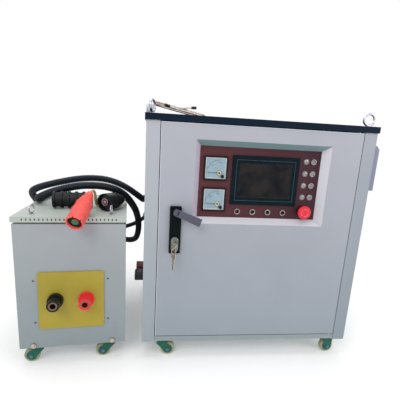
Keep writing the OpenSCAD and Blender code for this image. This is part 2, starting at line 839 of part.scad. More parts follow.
module capacitor() {
  cylinder(r = cap_can_r, h = cap_can_h);
  for (s = [-1, 1]) translate([s * cap_can_r / 2, 0, cap_can_h - over])
    cylinder(r = cap_can_r / 6, h = cap_can_r / 3 + over);
}
module fan_frame() {
  color([0.15, 0.15, 0.17]) place() translate([fan_x, cab_d - sheet - fan_l, fan_z]) rearwards() {
    difference() {
      translate([-fan_r - fan_border, -fan_r - fan_border, 0])
        cube([2 * (fan_r + fan_border), 2 * (fan_r + fan_border), fan_l]);
      translate([0, 0, -over]) cylinder(r = fan_r, h = fan_l + 2 * over);
    }
    for (a = [0 : 3]) rotate([0, 0, 45 + 90 * a])
      translate([fan_hub_r - over, -fan_strut / 2, 0])
        cube([fan_r - fan_hub_r + 2 * over, fan_strut, fan_strut]);
    cylinder(r = fan_hub_r, h = motor_l);
    cylinder(r = fan_shaft_r, h = fan_l - fan_strut);
    translate([0, 0, fan_l + sheet + guard_wire]) guard();
    for (a = [0 : 3]) rotate([0, 0, 45 + 90 * a])
      translate([fan_r + guard_wire, 0, fan_l + sheet]) cylinder(r = guard_foot_r, h = guard_foot_r);
  }
}
module guard() {
  for (i = [1 : guard_rings]) rotate_extrude()
    translate([i * fan_r / guard_rings, 0]) square(2 * guard_wire, center = true);
  for (a = [0 : 3]) rotate([0, 0, 45 + 90 * a]) translate([0, -guard_wire, -guard_wire / 2])
    cube([fan_r + 2 * guard_wire, 2 * guard_wire, guard_wire]);
}
module fan_rotor() {
  color([0.1, 0.1, 0.12]) place()
    translate([fan_x, cab_d - sheet - fan_l + motor_l + face_gap, fan_z]) rearwards()
    difference() {
      union() {
        cylinder(r = fan_hub_r, h = fan_l - motor_l - 2 * fan_strut);
        intersection() {
          for (i = [0 : fan_blades - 1]) rotate([0, 0, 360 * i / fan_blades])
            translate([0, 0, (fan_l - motor_l - 2 * fan_strut) / 2])
            rotate([blade_pitch, 0, 0])
            translate([fan_hub_r / 2, -blade_w / 2, -blade_t / 2])
              cube([fan_r, blade_w, blade_t]);
          translate([0, 0, 0]) cylinder(r = fan_r - fan_tip_gap,
            h = fan_l - motor_l - 2 * fan_strut);
        }
      }
      translate([0, 0, -over]) cylinder(r = fan_shaft_r + run_gap, h = fan_l);
    }
}

// Sockets and glands
module side_sockets() {
  for (i = [0, 1]) color(i == 0 ? [0.06, 0.06, 0.07] : [0.6, 0.1, 0.1]) place()
    translate([0, side_y + i * side_dy, cab_z + side_z]) rotate([0, -90, 0]) difference() {
      union() {
        cylinder(r = side_r, h = side_l);
        translate([0, 0, -sheet - side_nut]) cylinder(r = side_thread, h = sheet + side_nut + over);
        translate([0, 0, -sheet - side_nut]) cylinder(r = side_r - socket_base, h = side_nut);
      }
      translate([0, 0, -sheet]) cylinder(r = side_bore, h = side_l + sheet + over);
    }
}
function thread_of(d) = d / 2 + 2 * gland_rim / 5;
module gland(d) {
  difference() {
    union() {
      cylinder(r = d / 2 + 2 * gland_rim, h = gland_nut, $fn = 6);
      cylinder(r = d / 2 + gland_rim, h = gland_l);
      translate([0, 0, -sheet - gland_tail]) cylinder(r = thread_of(d), h = sheet + gland_tail + over);
      translate([0, 0, -sheet - gland_rim]) cylinder(r = d / 2 + gland_rim, h = gland_rim);
    }
    translate([0, 0, -sheet - gland_tail - over])
      cylinder(r = d / 2 - conduit_wall, h = gland_l + gland_tail + sheet + 2 * over);
  }
}
module cable_glands() {
  color([0.08, 0.08, 0.09]) {
    place() {
      translate([cab_conduit_at[0], cab_d, cab_conduit_at[1]]) rearwards() gland(conduit_d);
      translate([cab_link_at[0], cab_d, cab_link_at[1]]) rearwards() gland(link_d);
      translate([inlet_at[0], cab_d, inlet_at[1]]) rearwards() gland(inlet_d);
    }
    unit_place() {
      translate([unit_conduit_at[0], unit_d, unit_conduit_at[1]]) rearwards() gland(conduit_d);
      translate([unit_link_at[0], unit_d, unit_link_at[1]]) rearwards() gland(link_d);
    }
  }
}

// Door and what it carries
module door() {
  color([0.7, 0.72, 0.77]) place() difference() {
    union() {
      difference() {
        translate([door_x0, 0, door_z0])
          cube([door_x1 - door_x0, door_fold, door_z1 - door_z0]);
        translate([door_x0 + sheet, sheet, door_z0 + sheet])
          cube([door_x1 - door_x0 - 2 * sheet, door_fold, door_z1 - door_z0 - 2 * sheet]);
      }
      for (z = [door_z0, door_z1 - bush_l]) translate([pivot_x, pivot_deep, z])
        cylinder(r = min(bush_r, pivot_deep), h = bush_l);
      recess(sheet, 0);
    }
    recess(0, over);
    translate([panel_x + seat_lip, 0, panel_z + seat_lip])
      cube([panel_w - 2 * seat_lip, recess_d + panel_t + 2 * sheet, panel_h - 2 * seat_lip]);
    for (z = [door_z0 - over, door_z1 - bush_l - over]) translate([pivot_x, pivot_deep, z])
      cylinder(r = pivot_r + run_gap, h = bush_l + 2 * over);
    translate([lock_x, -over, lever_z]) rearwards() cylinder(r = hub_r + face_gap, h = sheet + 2 * over);
    translate([lock_x, -over, key_z]) rearwards() cylinder(r = key_r + face_gap, h = sheet + 2 * over);
  }
}
// The recess as a solid grown by a wall, and its flat seat behind the panel
module recess(wall, front) {
  hull() {
    translate([recess_x - wall, -front, recess_low - wall])
      cube([recess_w + 2 * wall, sheet / 2 + front, recess_h + 2 * wall]);
    translate([panel_x - wall, recess_d - sheet / 2, panel_z - wall])
      cube([panel_w + 2 * wall, sheet / 2, panel_h + 2 * wall]);
  }
  translate([panel_x - wall, recess_d - over / 2, panel_z - wall])
    cube([panel_w + 2 * wall, panel_t + over / 2 + wall, panel_h + 2 * wall]);
}
function meter_at(i) = [panel_x + meter_x, panel_top - meter_top - meter_s - i * meter_step];
function button_at(c, r) = [panel_x + panel_w - button_in + c * button_dx,
  panel_top - button_top - r * button_dz];
screen_at = [panel_x + screen_x, panel_top - screen_top - screen_h];
stop_at = [panel_x + panel_w - stop_in, panel_z + stop_z];
function socket_at(i) = [panel_x + socket_x + i * socket_dx, panel_z + socket_z];
// Puts a shape, drawn with +z to the rear and z = 0 on the panel's face, at a panel place
module on_panel(at) {
  place() translate([at[0], recess_d, at[1]]) rearwards() children();
}
module control_plate() {
  color([0.36, 0.2, 0.19]) {
    place() difference() {
      translate([panel_x + seat_gap, recess_d, panel_z + seat_gap])
        cube([panel_w - 2 * seat_gap, panel_t, panel_h - 2 * seat_gap]);
      for (i = [0, 1]) panel_hole(meter_at(i) + [meter_s / 2, meter_s / 2], meter_body_r);
      for (c = [0, 1], r = [0 : 3]) panel_hole(button_at(c, r), ring_body_r);
      for (i = [0 : 3]) panel_hole(socket_at(i), socket_body_r);
      panel_hole(stop_at, stop_body_r);
      translate([screen_at[0] + screen_body_in - seat_gap, recess_d - over,
        screen_at[1] + screen_body_in - seat_gap])
        cube([screen_w - 2 * screen_body_in + 2 * seat_gap, panel_t + 2 * over,
          screen_h - 2 * screen_body_in + 2 * seat_gap]);
    }
  }
}
module panel_hole(at, r) {
  translate([at[0], recess_d - over, at[1]]) rearwards() cylinder(r = r + seat_gap, h = panel_t + 2 * over);
}
module meter_cases() {
  color([0.08, 0.08, 0.09]) place() for (i = [0, 1])
    translate([meter_at(i)[0], recess_d, meter_at(i)[1]]) meter_case();
}
module meter_case() {
  px = meter_pivot_share[0] * meter_s;
  pz = meter_pivot_share[1] * meter_s;
  difference() {
    union() {
      translate([0, -meter_proud, 0]) cube([meter_s, meter_proud, meter_s]);
      translate([meter_s / 2, -over, meter_s / 2]) rearwards()
        cylinder(r = meter_body_r, h = meter_body_l + over);
    }
    translate([meter_rim, -meter_proud - over, meter_rim])
      cube([meter_s - 2 * meter_rim, meter_pocket + over, meter_s - 2 * meter_rim]);
  }
  translate([px, -meter_proud + pane_t + 2 * face_gap, pz]) rearwards()
    cylinder(r = meter_pin_r, h = meter_pocket - pane_t - 2 * face_gap + over);
  translate([meter_screw_share[0] * meter_s, -meter_proud + pane_t + 2 * face_gap,
    meter_screw_share[1] * meter_s]) rearwards()
    cylinder(r = meter_screw_r, h = meter_pocket - pane_t - 2 * face_gap + over);
}
module needle(i) {
  at = meter_at(i);
  place() translate([at[0] + meter_pivot_share[0] * meter_s,
    recess_d - meter_proud + pane_t + 3 * face_gap + needle_t, at[1] + meter_pivot_share[1] * meter_s])
    difference() {
      union() {
        translate([-needle_l, 0, -needle_w / 2]) cube([needle_l + needle_tail, needle_t, needle_w]);
        rearwards() cylinder(r = needle_hub_r, h = 2 * needle_t);
      }
      translate([0, -over, 0]) rearwards() cylinder(r = meter_pin_r + run_gap, h = 4 * over);
    }
}
module ammeter_needle() { color("black") needle(0); }
module voltmeter_needle() { color("black") needle(1); }
module screen_bezel() {
  color([0.05, 0.09, 0.12]) place() translate([screen_at[0], recess_d, screen_at[1]]) difference() {
    union() {
      translate([0, -screen_proud, 0]) cube([screen_w, screen_proud, screen_h]);
      translate([screen_body_in, -over, screen_body_in])
        cube([screen_w - 2 * screen_body_in, screen_body_l + over, screen_h - 2 * screen_body_in]);
    }
    translate([screen_step, -screen_proud - over, screen_step])
      cube([screen_w - 2 * screen_step, screen_step_deep + over, screen_h - 2 * screen_step]);
    translate([(screen_w - screen_pane[0]) / 2, -screen_proud, (screen_h - screen_pane[1]) / 2])
      cube([screen_pane[0], screen_step_deep + screen_pane_deep, screen_pane[1]]);
  }
}
module glass_panes() {
  color([0.5, 0.6, 0.65, 0.4]) place() {
    for (i = [0, 1]) translate([meter_at(i)[0] + meter_rim + seat_gap,
      recess_d - meter_proud + face_gap, meter_at(i)[1] + meter_rim + seat_gap])
      cube([meter_s - 2 * meter_rim - 2 * seat_gap, pane_t, meter_s - 2 * meter_rim - 2 * seat_gap]);
    translate([screen_at[0] + (screen_w - screen_pane[0]) / 2 + seat_gap,
      recess_d - screen_proud + screen_step_deep + screen_pane_deep - pane_t,
      screen_at[1] + (screen_h - screen_pane[1]) / 2 + seat_gap])
      cube([screen_pane[0] - 2 * seat_gap, pane_t, screen_pane[1] - 2 * seat_gap]);
  }
}
module button_ring() {
  difference() {
    union() {
      translate([0, 0, -ring_proud]) cylinder(r = button_r, h = ring_proud);
      translate([0, 0, -over]) cylinder(r = ring_body_r, h = ring_body_l + over);
    }
    translate([0, 0, -ring_proud - over])
      cylinder(r = cap_r + run_gap, h = ring_proud + cap_l + button_travel + 2 * over);
  }
}
module cap_shape() {
  rotate_extrude() polygon([[0, -cap_proud], [cap_r - 2 * cap_round, -cap_proud],
    [cap_r, -cap_proud + cap_round], [cap_r, cap_l - cap_proud], [0, cap_l - cap_proud]]);
}
module button_rings() { color("silver") for (r = [0 : 3]) on_panel(button_at(1, r)) button_ring(); }
module indicator_lamps() {
  color("gainsboro") for (r = [0 : 3]) on_panel(button_at(0, r)) {
    translate([0, 0, -ring_proud]) cylinder(r = button_r, h = ring_proud);
    translate([0, 0, -over]) cylinder(r = ring_body_r, h = ring_body_l + over);
    rotate_extrude() polygon(concat([[0, -ring_proud + over]],
      [for (a = [90 : -15 : 0]) [cap_r * sin(a), -ring_proud - cap_proud / 2 * cos(a)]]));
  }
}
module button_1() { color("silver") on_panel(button_at(1, 0)) cap_shape(); }
module button_2() { color("silver") on_panel(button_at(1, 1)) cap_shape(); }
module button_3() { color("silver") on_panel(button_at(1, 2)) cap_shape(); }
module button_4() { color("silver") on_panel(button_at(1, 3)) cap_shape(); }
module stop_button_body() {
  color([0.1, 0.1, 0.1]) on_panel(stop_at) difference() {
    union() {
      translate([0, 0, -stop_base_h]) cylinder(r = stop_base_r, h = stop_base_h);
      translate([0, 0, -stop_collar_h]) cylinder(r = stop_collar_r, h = stop_collar_h);
      translate([0, 0, -over]) cylinder(r = stop_body_r, h = stop_body_l + over);
    }
    translate([0, 0, -stop_collar_h - over])
      cylinder(r = stop_stem_r + run_gap, h = stop_collar_h + stop_body_l - 2 * stop_base_h);
  }
}
module stop_button_head() {
  color([0.85, 0.12, 0.18]) on_panel(stop_at) rotate_extrude() polygon(concat([[0, -stop_proud]],
    [for (a = [0 : 15 : 90]) [stop_r - stop_base_h + stop_base_h * sin(a),
      -stop_proud + stop_base_h - stop_base_h * cos(a)]],
    [[stop_r, stop_head_t - stop_proud - stop_base_h], [stop_r - stop_base_h, stop_head_t - stop_proud],
    [stop_stem_r, stop_head_t - stop_proud], [stop_stem_r, stop_stem_end], [0, stop_stem_end]]));
}
module sensor_sockets() {
  color("silver") for (i = [0 : 3]) on_panel(socket_at(i)) {
    difference() {
      union() {
        translate([0, 0, -socket_proud]) cylinder(r = socket_r, h = socket_proud);
        translate([0, 0, -over]) cylinder(r = socket_body_r, h = socket_body_l + over);
      }
      translate([0, 0, -socket_proud - over])
        cylinder(r = socket_bore, h = socket_body_l + socket_proud - over);
    }
    translate([0, 0, socket_proud]) cylinder(r = socket_pin_r, h = socket_body_l - socket_proud);
  }
}

// Door lock
module lock_plate() {
  color([0.04, 0.05, 0.06]) place() difference() {
    translate([lock_x - lock_w / 2, 0, cab_z + lock_z]) union() {
      forwards() round_plate(lock_w, lock_h, lock_proud, lock_round);
      translate([lock_w / 2, -lock_proud + over, barrel_z]) forwards()
        for (s = [-1, 1]) union() {
          translate([0, s * (oval_h - oval_w) / 2, 0])
            cylinder(r = oval_w / 2, h = oval_t + over);
          translate([-oval_w / 2, -(oval_h - oval_w) / 2, 0])
            cube([oval_w, oval_h - oval_w, oval_t + over]);
        }
    }
    translate([lock_x, over, lever_z]) forwards() cylinder(r = hub_r + run_gap, h = lock_proud + 2 * over);
    translate([lock_x, over, key_z]) forwards()
      cylinder(r = key_r + run_gap, h = lock_proud + oval_t + 2 * over);
  }
}
// Puts a lock part, drawn with the lever hanging straight down, at the lever's turn
module lock_frame() {
  place() translate([lock_x, 0, lever_z]) rotate([0, -lever_turn, 0]) children();
}
module lock_hub() {
  color([0.25, 0.25, 0.28]) lock_frame() {
    translate([0, -lock_proud - face_gap, 0]) rearwards()
      cylinder(r = hub_r, h = lock_proud + face_gap + cam_y + cam_t);
    translate([-hub_head_w / 2, -lock_proud - hub_head_h, -hub_head_l])
      cube([hub_head_w, hub_head_h - face_gap, 2 * hub_head_l]);
    translate([-lever_root_w / 2, -lock_proud - lever_pin_y, 0]) rotate([0, 90, 0])
      cylinder(r = lever_pin_r, h = lever_root_w);
    translate([-cam_l, cam_y, -cam_w / 2]) cube([cam_l, cam_t, cam_w]);
  }
}
module lock_lever() {
  color([0.32, 0.31, 0.38]) lock_frame() translate([0, -lock_proud - lever_pin_y, 0])
    rotate([-lever_lift, 0, 0]) difference() {
      union() {
        translate([-lever_root_w / 2, 0, 0]) rotate([0, 90, 0])
          cylinder(r = lever_root_r, h = lever_root_w);
        translate([0, lever_pin_y - face_gap, 0]) forwards() linear_extrude(lever_t)
          polygon([[-lever_root_w / 2, 0], [lever_root_w / 2, 0],
            [lever_tip_w / 2, -lever_l], [-lever_tip_w / 2, -lever_l]]);
      }
      translate([-hub_head_w / 2 - face_gap, -lock_proud, -lever_slot])
        cube([hub_head_w + 2 * face_gap, 2 * lock_proud, lever_slot + 2 * lever_root_r]);
      translate([-lever_root_w, 0, 0]) rotate([0, 90, 0])
        cylinder(r = lever_pin_r + run_gap, h = 2 * lever_root_w);
    }
}
module lock_key() {
  color([0.75, 0.72, 0.6]) place() translate([lock_x, 0, key_z]) {
    front = -lock_proud - oval_t - key_proud;
    translate([0, front, 0]) rearwards() cylinder(r = key_r, h = lock_proud + oval_t + key_proud + cam_y);
    translate([0, front, 0]) rotate([0, key_turn, 0]) {
      translate([-key_blade[0] / 2, -key_blade[2], -key_blade[1] / 2])
        cube([key_blade[0], key_blade[2] + over, key_blade[1]]);
      difference() {
        translate([-key_bow[0] / 2, -key_blade[2] - key_bow[2], -key_bow[1] / 2])
          cube([key_bow[0], key_bow[2], key_bow[1]]);
        translate([-key_bow[0], -key_blade[2] - key_bow[2] / 2, -key_bow[1] / 4])
          rotate([0, 90, 0]) cylinder(r = key_hole_r, h = 2 * key_bow[0]);
      }
    }
    spare(front - key_blade[2] - key_bow[2] / 2);
  }
}
module spare(y) {
  low = -key_bow[1] / 4 * cos(key_turn) - ring_r - key_hole_r + ring_wire / 2;
  side = -key_bow[1] / 4 * sin(key_turn);
  translate([side, y, low]) rotate([0, 0, key_turn]) {
    rotate([90, 0, 0]) rotate_extrude() translate([ring_r, 0]) circle(r = ring_wire, $fn = 16);
    translate([0, 0, -ring_r - key_hole_r + ring_wire / 2]) difference() {
      union() {
        translate([-key_bow[0] / 2, -key_bow[1] / 2, key_bow[1] / 4 - key_bow[2]])
          cube([key_bow[0], key_bow[1], key_bow[2]]);
        translate([-key_bow[0] / 2, -key_blade[1] / 2, -spare_l])
          cube([key_bow[0], key_blade[1], spare_l]);
      }
      translate([-key_bow[0], 0, 0]) rotate([0, 90, 0]) cylinder(r = key_hole_r, h = 2 * key_bow[0]);
    }
  }
}

// Output unit
module unit_box(w, d, inset, z, h) {
  translate([-w / 2 + inset, inset, z]) cube([w - 2 * inset, d - 2 * inset, h]);
}
module unit_shell() {
  color([0.6, 0.63, 0.66]) unit_place() difference() {
    union() {
      difference() {
        unit_box(unit_w, unit_d, 0, unit_z, unit_h);
        unit_box(unit_w, unit_d, sheet, unit_z + sheet, unit_h - 2 * sheet);
        unit_box(unit_w, unit_d, shell_fold, unit_top - 2 * sheet, unit_h);
      }
      for (x = rivet_x, z = rivet_z) translate([x, over, unit_z + z]) forwards()
        cylinder(r = rivet_r, h = rivet_h + over);
    }
    for (x = term_x) translate([x, -over, unit_z + term_z]) rearwards()
      cylinder(r = stud_r + seat_gap, h = sheet + 2 * over);
    for (g = [unit_conduit_at, unit_link_at])
      translate([g[0], unit_d - sheet - over, g[1]]) rearwards()
        cylinder(r = thread_of(g == unit_conduit_at ? conduit_d : link_d) + seat_gap,
          h = sheet + 2 * over);
    for (x = [-caster_bolt_x, caster_bolt_x])
      translate([x, -over, unit_z + caster_bolt_z]) rearwards()
        cylinder(r = caster_bolt_r / 2 + seat_gap, h = sheet + 2 * over);
  }
}
rivet_x = [plate_mid - plate_w / 2 - rivet_out, plate_mid + plate_w / 2 + rivet_out];
term_x = [term_mid - term_dx / 2, term_mid + term_dx / 2];
module unit_lid() {
  color([0.78, 0.8, 0.79]) unit_place() difference() {
    union() {
      difference() {
        unit_box(unit_w, unit_d, -lid_over, lid_low, lid_h);
        unit_box(unit_w, unit_d, -lid_over + sheet, lid_low - over, lid_h - sheet + over);
      }
      difference() {
        unit_box(unit_w, unit_d, lid_rim_in, unit_top, lid_top - unit_top - over);
        unit_box(unit_w, unit_d, lid_rim_in + sheet, unit_top - over, lid_top - unit_top - sheet + over);
      }
    }
    for (i = [0 : vent_count - 1])
      translate([(i - (vent_count - 1) / 2) * vent_step - vent_w / 2, -lid_over - over,
        lid_low + vent_low - over]) cube([vent_w, sheet + 2 * over, vent_h]);
    for (p = unit_eyes) translate([p[0], p[1], unit_top])
      cylinder(r = small_shank_r + seat_gap, h = lid_h + lid_gap + over);
  }
}
module terminal_plate() {
  color([0.7, 0.64, 0.18]) unit_place() difference() {
    translate([plate_mid - plate_w / 2, 0, unit_z + plate_z]) forwards()
      round_plate(plate_w, plate_h, plate_t, plate_round);
    for (x = term_x) translate([x, over, unit_z + term_z]) forwards()
      cylinder(r = stud_r + seat_gap, h = plate_t + 2 * over);
  }
}
module terminal(x) {
  unit_place() translate([x, -plate_t, unit_z + term_z]) difference() {
    union() {
      forwards() cylinder(r = term_r, h = term_base_l);
      forwards() cylinder(r = term_front_r, h = term_l);
      translate([0, -term_l, 0]) forwards() cylinder(r = term_ring_r, h = face_gap);
      translate([0, -over, 0]) rearwards() cylinder(r = stud_r, h = stud_l + over);
    }
    translate([0, -term_l - over, 0]) rearwards() cylinder(r = bore_r, h = sleeve_l + over);
  }
}
module red_terminal() { color([0.9, 0.12, 0.18]) terminal(term_x[1]); }
module black_terminal() { color([0.07, 0.07, 0.08]) terminal(term_x[0]); }
module transformer() {
  color([0.45, 0.3, 0.2]) unit_place() translate([0, core_y, unit_z + sheet]) {
    difference() {
      translate([-core_w / 2, 0, 0]) cube([core_w, core_d, core_h]);
      translate([-core_w / 2 + core_leg, -over, core_leg])
        cube([core_w - 2 * core_leg, core_d + 2 * over, core_h - 2 * core_leg]);
    }
    for (s = [-1, 1]) translate([s * (core_w - core_leg) / 2, core_d / 2,
      (core_h - coil_h) / 2]) coil();
  }
}
module coil() {
  w = core_leg + 2 * coil_t;
  d = core_d + 2 * coil_t;
  difference() {
    translate([-w / 2, -d / 2, 0]) cube([w, d, coil_h]);
    translate([-core_leg / 2, -core_d / 2, -over]) cube([core_leg, core_d, coil_h + 2 * over]);
  }
}

// Casters: each is drawn about its own mount, with z = 0 on the floor
module swivel_mount(lift) {
  race_z = caster_h - bracket_t - race_h;
  translate([-mount_w / 2, -mount_w / 2, caster_h - bracket_t])
    cube([mount_w, mount_w, bracket_t + lift]);
  translate([0, 0, race_z]) cylinder(r = race_r, h = race_h + over);
  translate([0, 0, race_z - 2 * face_gap - bracket_t - king_head_h])
    cylinder(r = king_r, h = caster_h - race_z);
  translate([0, 0, race_z - 2 * face_gap - bracket_t - king_head_h])
    cylinder(r = king_head_r, h = king_head_h);
}
module leg(x, top, half_w) {
  for (s = [-1, 1]) translate([0, s * (wheel_w / 2 + fork_gap + bracket_t / 2) + bracket_t / 2, 0])
    forwards() linear_extrude(bracket_t) union() {
      polygon([[-half_w, top], [half_w, top], [x + axle_boss, wheel_r], [x - axle_boss, wheel_r]]);
      translate([x, wheel_r]) circle(r = axle_boss);
    }
  translate([x, wheel_w / 2 + fork_gap + bracket_t + cap_boss_h, wheel_r]) forwards()
    cylinder(r = axle_r, h = wheel_w + 2 * (fork_gap + bracket_t + cap_boss_h));
  for (s = [-1, 1]) translate([x, s * (wheel_w / 2 + fork_gap + bracket_t + cap_boss_h / 2)
    + cap_boss_h / 2, wheel_r]) forwards() cylinder(r = cap_boss_r, h = cap_boss_h);
}
module fixed_mount(lift) {
  translate([-mount_w / 2, -mount_w / 2, caster_h - bracket_t])
    cube([mount_w, mount_w, bracket_t + lift]);
  leg(0, caster_h - bracket_t / 2, race_r);
}
module fork(x) {
  crown_top = caster_h - bracket_t - race_h - face_gap;
  difference() {
    union() {
      translate([0, 0, crown_top - bracket_t]) cylinder(r = crown_r, h = bracket_t);
      leg(x, crown_top - bracket_t / 2, wheel_w / 2);
    }
    translate([0, 0, crown_top - bracket_t - over]) cylinder(r = king_r + run_gap, h = bracket_t + 2 * over);
  }
}
module wheel() {
  h = wheel_w / 2;
  rim = wheel_r - hub_out;
  translate([0, 0, wheel_r]) rotate([90, 0, 0]) rotate_extrude() polygon([
    [axle_r + run_gap, -h], [hub_boss_r, -h], [hub_boss_r, hub_in - h], [rim, hub_in - h],
    [rim, -h], [wheel_r - tread_round, -h], [wheel_r, tread_round - h],
    [wheel_r, h - tread_round], [wheel_r - tread_round, h], [rim, h], [rim, h - hub_in],
    [hub_boss_r, h - hub_in], [hub_boss_r, h], [axle_r + run_gap, h]]);
}
module caster_mounts() {
  color([0.1, 0.4, 0.32]) {
    place() {
      for (p = [cab_front_swivel, cab_rear_swivel]) translate([p[0], p[1], 0]) swivel_mount(rail_lift);
      for (p = [cab_front_fixed, cab_rear_fixed]) translate([p[0], p[1], 0]) fixed_mount(rail_lift);
    }
    unit_place() {
      for (p = [unit_left_swivel, unit_right_swivel]) translate([p[0], p[1], 0]) swivel_mount(0);
      for (p = [unit_left_fixed, unit_right_fixed]) translate([p[0], p[1], 0]) fixed_mount(0);
      for (x = [-caster_bolt_x, caster_bolt_x]) translate([x, 0, unit_z + caster_bolt_z]) {
        forwards() cylinder(r = caster_washer_r, h = bracket_t / 2);
        forwards() cylinder(r = caster_bolt_r, h = bracket_t + king_head_h, $fn = 6);
        translate([0, -over, 0]) rearwards() cylinder(r = caster_bolt_r / 2, h = king_head_h + over);
      }
    }
  }
}
fork_tint = [0.08, 0.4, 0.32];
tread_tint = [0.62, 0.65, 0.5];
module cab_at(p) { place() translate([p[0], p[1], 0]) children(); }
module unit_at(p) { unit_place() translate([p[0], p[1], 0]) children(); }
module cab_fork_front() { color(fork_tint) cab_at(cab_front_swivel) fork(trail); }
module cab_fork_rear() { color(fork_tint) cab_at(cab_rear_swivel) fork(trail); }
module unit_fork_left() { color(fork_tint) unit_at(unit_left_swivel) fork(-trail); }
module unit_fork_right() { color(fork_tint) unit_at(unit_right_swivel) fork(-trail); }
module cab_wheel_fl() { color(tread_tint) cab_at(cab_front_swivel) translate([trail, 0, 0]) wheel(); }
module cab_wheel_rl() { color(tread_tint) cab_at(cab_rear_swivel) translate([trail, 0, 0]) wheel(); }
module cab_wheel_fr() { color(tread_tint) cab_at(cab_front_fixed) wheel(); }
module cab_wheel_rr() { color(tread_tint) cab_at(cab_rear_fixed) wheel(); }
module unit_wheel_fl() { color(tread_tint) unit_at(unit_left_swivel) translate([-trail, 0, 0]) wheel(); }
module unit_wheel_fr() { color(tread_tint) unit_at(unit_right_swivel) translate([-trail, 0, 0]) wheel(); }
module unit_wheel_rl() { color(tread_tint) unit_at(unit_left_fixed) wheel(); }
module unit_wheel_rr() { color(tread_tint) unit_at(unit_right_fixed) wheel(); }

// Cords and their plugs
module conduit() {
  color([0.1, 0.12, 0.2]) place()
    ribbed_tube(conduit_route, conduit_d, rib_deep, conduit_wall, conduit_ribs,
      conduit_bore_rings, tube_sides);
}
module link_cable() { color([0.08, 0.08, 0.1]) place() tube(link_route, link_d, link_rings, tube_sides); }
module jumper_lead() {
  color([0.75, 0.65, 0.5]) unit_place() tube(jumper_route, jumper_d, jumper_rings, tube_sides);
}
// A large cable plug along +z, from its neck to its notched mouth
module plug(neck_r, mouth_r, l) {
  difference() {
    union() {
      rotate_extrude() polygon(concat([[0, 0], [neck_r, 0], [neck_r, l / 10]],
        [for (i = [0 : plug_ribs - 1]) each
          [[neck_r + (mouth_r - neck_r) * (i + 1) / plug_ribs, l * (2 * i + 2) / 20],
          [neck_r + (mouth_r - neck_r) * (i + 1) / plug_ribs, l * (2 * i + 3) / 20],
          [neck_r + (mouth_r - neck_r) * (i + 1) / plug_ribs - rivet_h, l * (2 * i + 3) / 20]]],
        [[mouth_r - rivet_h, l * 11 / 20], [mouth_r, l * 12 / 20], [mouth_r, l], [0, l]]));
    }
    difference() {
      translate([0, 0, l - plug_deep]) cylinder(r = mouth_r - plug_wall, h = plug_deep + over);
      cylinder(r = plug_core_r, h = l - plug_wall);
    }
    for (a = [0 : 5]) rotate([0, 0, 60 * a])
      translate([mouth_r - 2 * plug_wall, -plug_wall / 2, l - plug_wall])
        cube([2 * plug_wall + over, plug_wall, plug_wall + over]);
  }
}
module red_plug() {
  color([0.9, 0.35, 0.32]) unit_place() aimed(red_neck, red_mouth)
    plug(plug_neck_r, plug_r, norm(red_mouth - red_neck));
}
module black_plugs() {
  color([0.06, 0.06, 0.07]) unit_place() {
    aimed(black_tail, black_mouth)
      plug(black_tail_r, boot_r + face_gap, norm(black_mouth - black_tail));
    aimed(boot_from, boot_to) boot(norm(boot_to - boot_from));
  }
}
black_tail_r = 17;
module boot(l) {
  difference() {
    rotate_extrude() polygon(concat([[0, 0]], [for (i = [0 : plug_ribs + 1])
      let (z = i * (l - plug_wall * 2) / (plug_ribs + 1)) each
        [[boot_r - plug_wall, z], [boot_r, z], [boot_r, z + plug_wall * 2],
        [boot_r - plug_wall, z + plug_wall * 2]]], [[0, l]]));
    translate([0, 0, l - plug_deep]) cylinder(r = plug_core_r + plug_wall, h = plug_deep + over);
  }
}
// Hank of thin lead: a spiral stadium wound inwards below and outwards above
half_l = (hank_l - hank_w) / 2;
hank_r = (hank_w - sensor_d) / 2;
hank_pitch = hank_pitch_share * sensor_d;
hank_climb = 0.5;
function loop_r(u) = hank_r - hank_pitch * min(u, hank_loops - u);
function loop_z(u) = hank_pitch * max(0, min(1, (u - hank_loops / 2) / hank_climb + 0.5));
// Position at a share of one turn round a stadium of radius r
function stadium(r, t) =
  let (turn = PI * r, total = 4 * half_l + 2 * turn, s = t * total)
  s < half_l ? [s, -r]
  : s < half_l + turn ? [half_l + r * sin((s - half_l) / turn * 180),
    -r * cos((s - half_l) / turn * 180)]
  : s < 3 * half_l + turn ? [2 * half_l + turn - s, r]
  : s < 3 * half_l + 2 * turn ? [-half_l - r * sin((s - 3 * half_l - turn) / turn * 180),
    r * cos((s - 3 * half_l - turn) / turn * 180)]
  : [s - 4 * half_l - 2 * turn, -r];
hank_path = concat(hank_tail_a, [for (k = [0 : hank_loops * hank_rings])
  let (u = k / hank_rings, q = stadium(loop_r(u), u - floor(u))) [q[0], q[1], loop_z(u)]],
  hank_tail_b);
// Least distance between strands that are not neighbours along the lead
strand_gap = min([for (i = [0 : len(hank_path) - 1], j = [i + 6 : len(hank_path) - 1])
  norm(hank_path[i] - hank_path[j])]) - sensor_d;
echo(hank_self_gap = strand_gap);
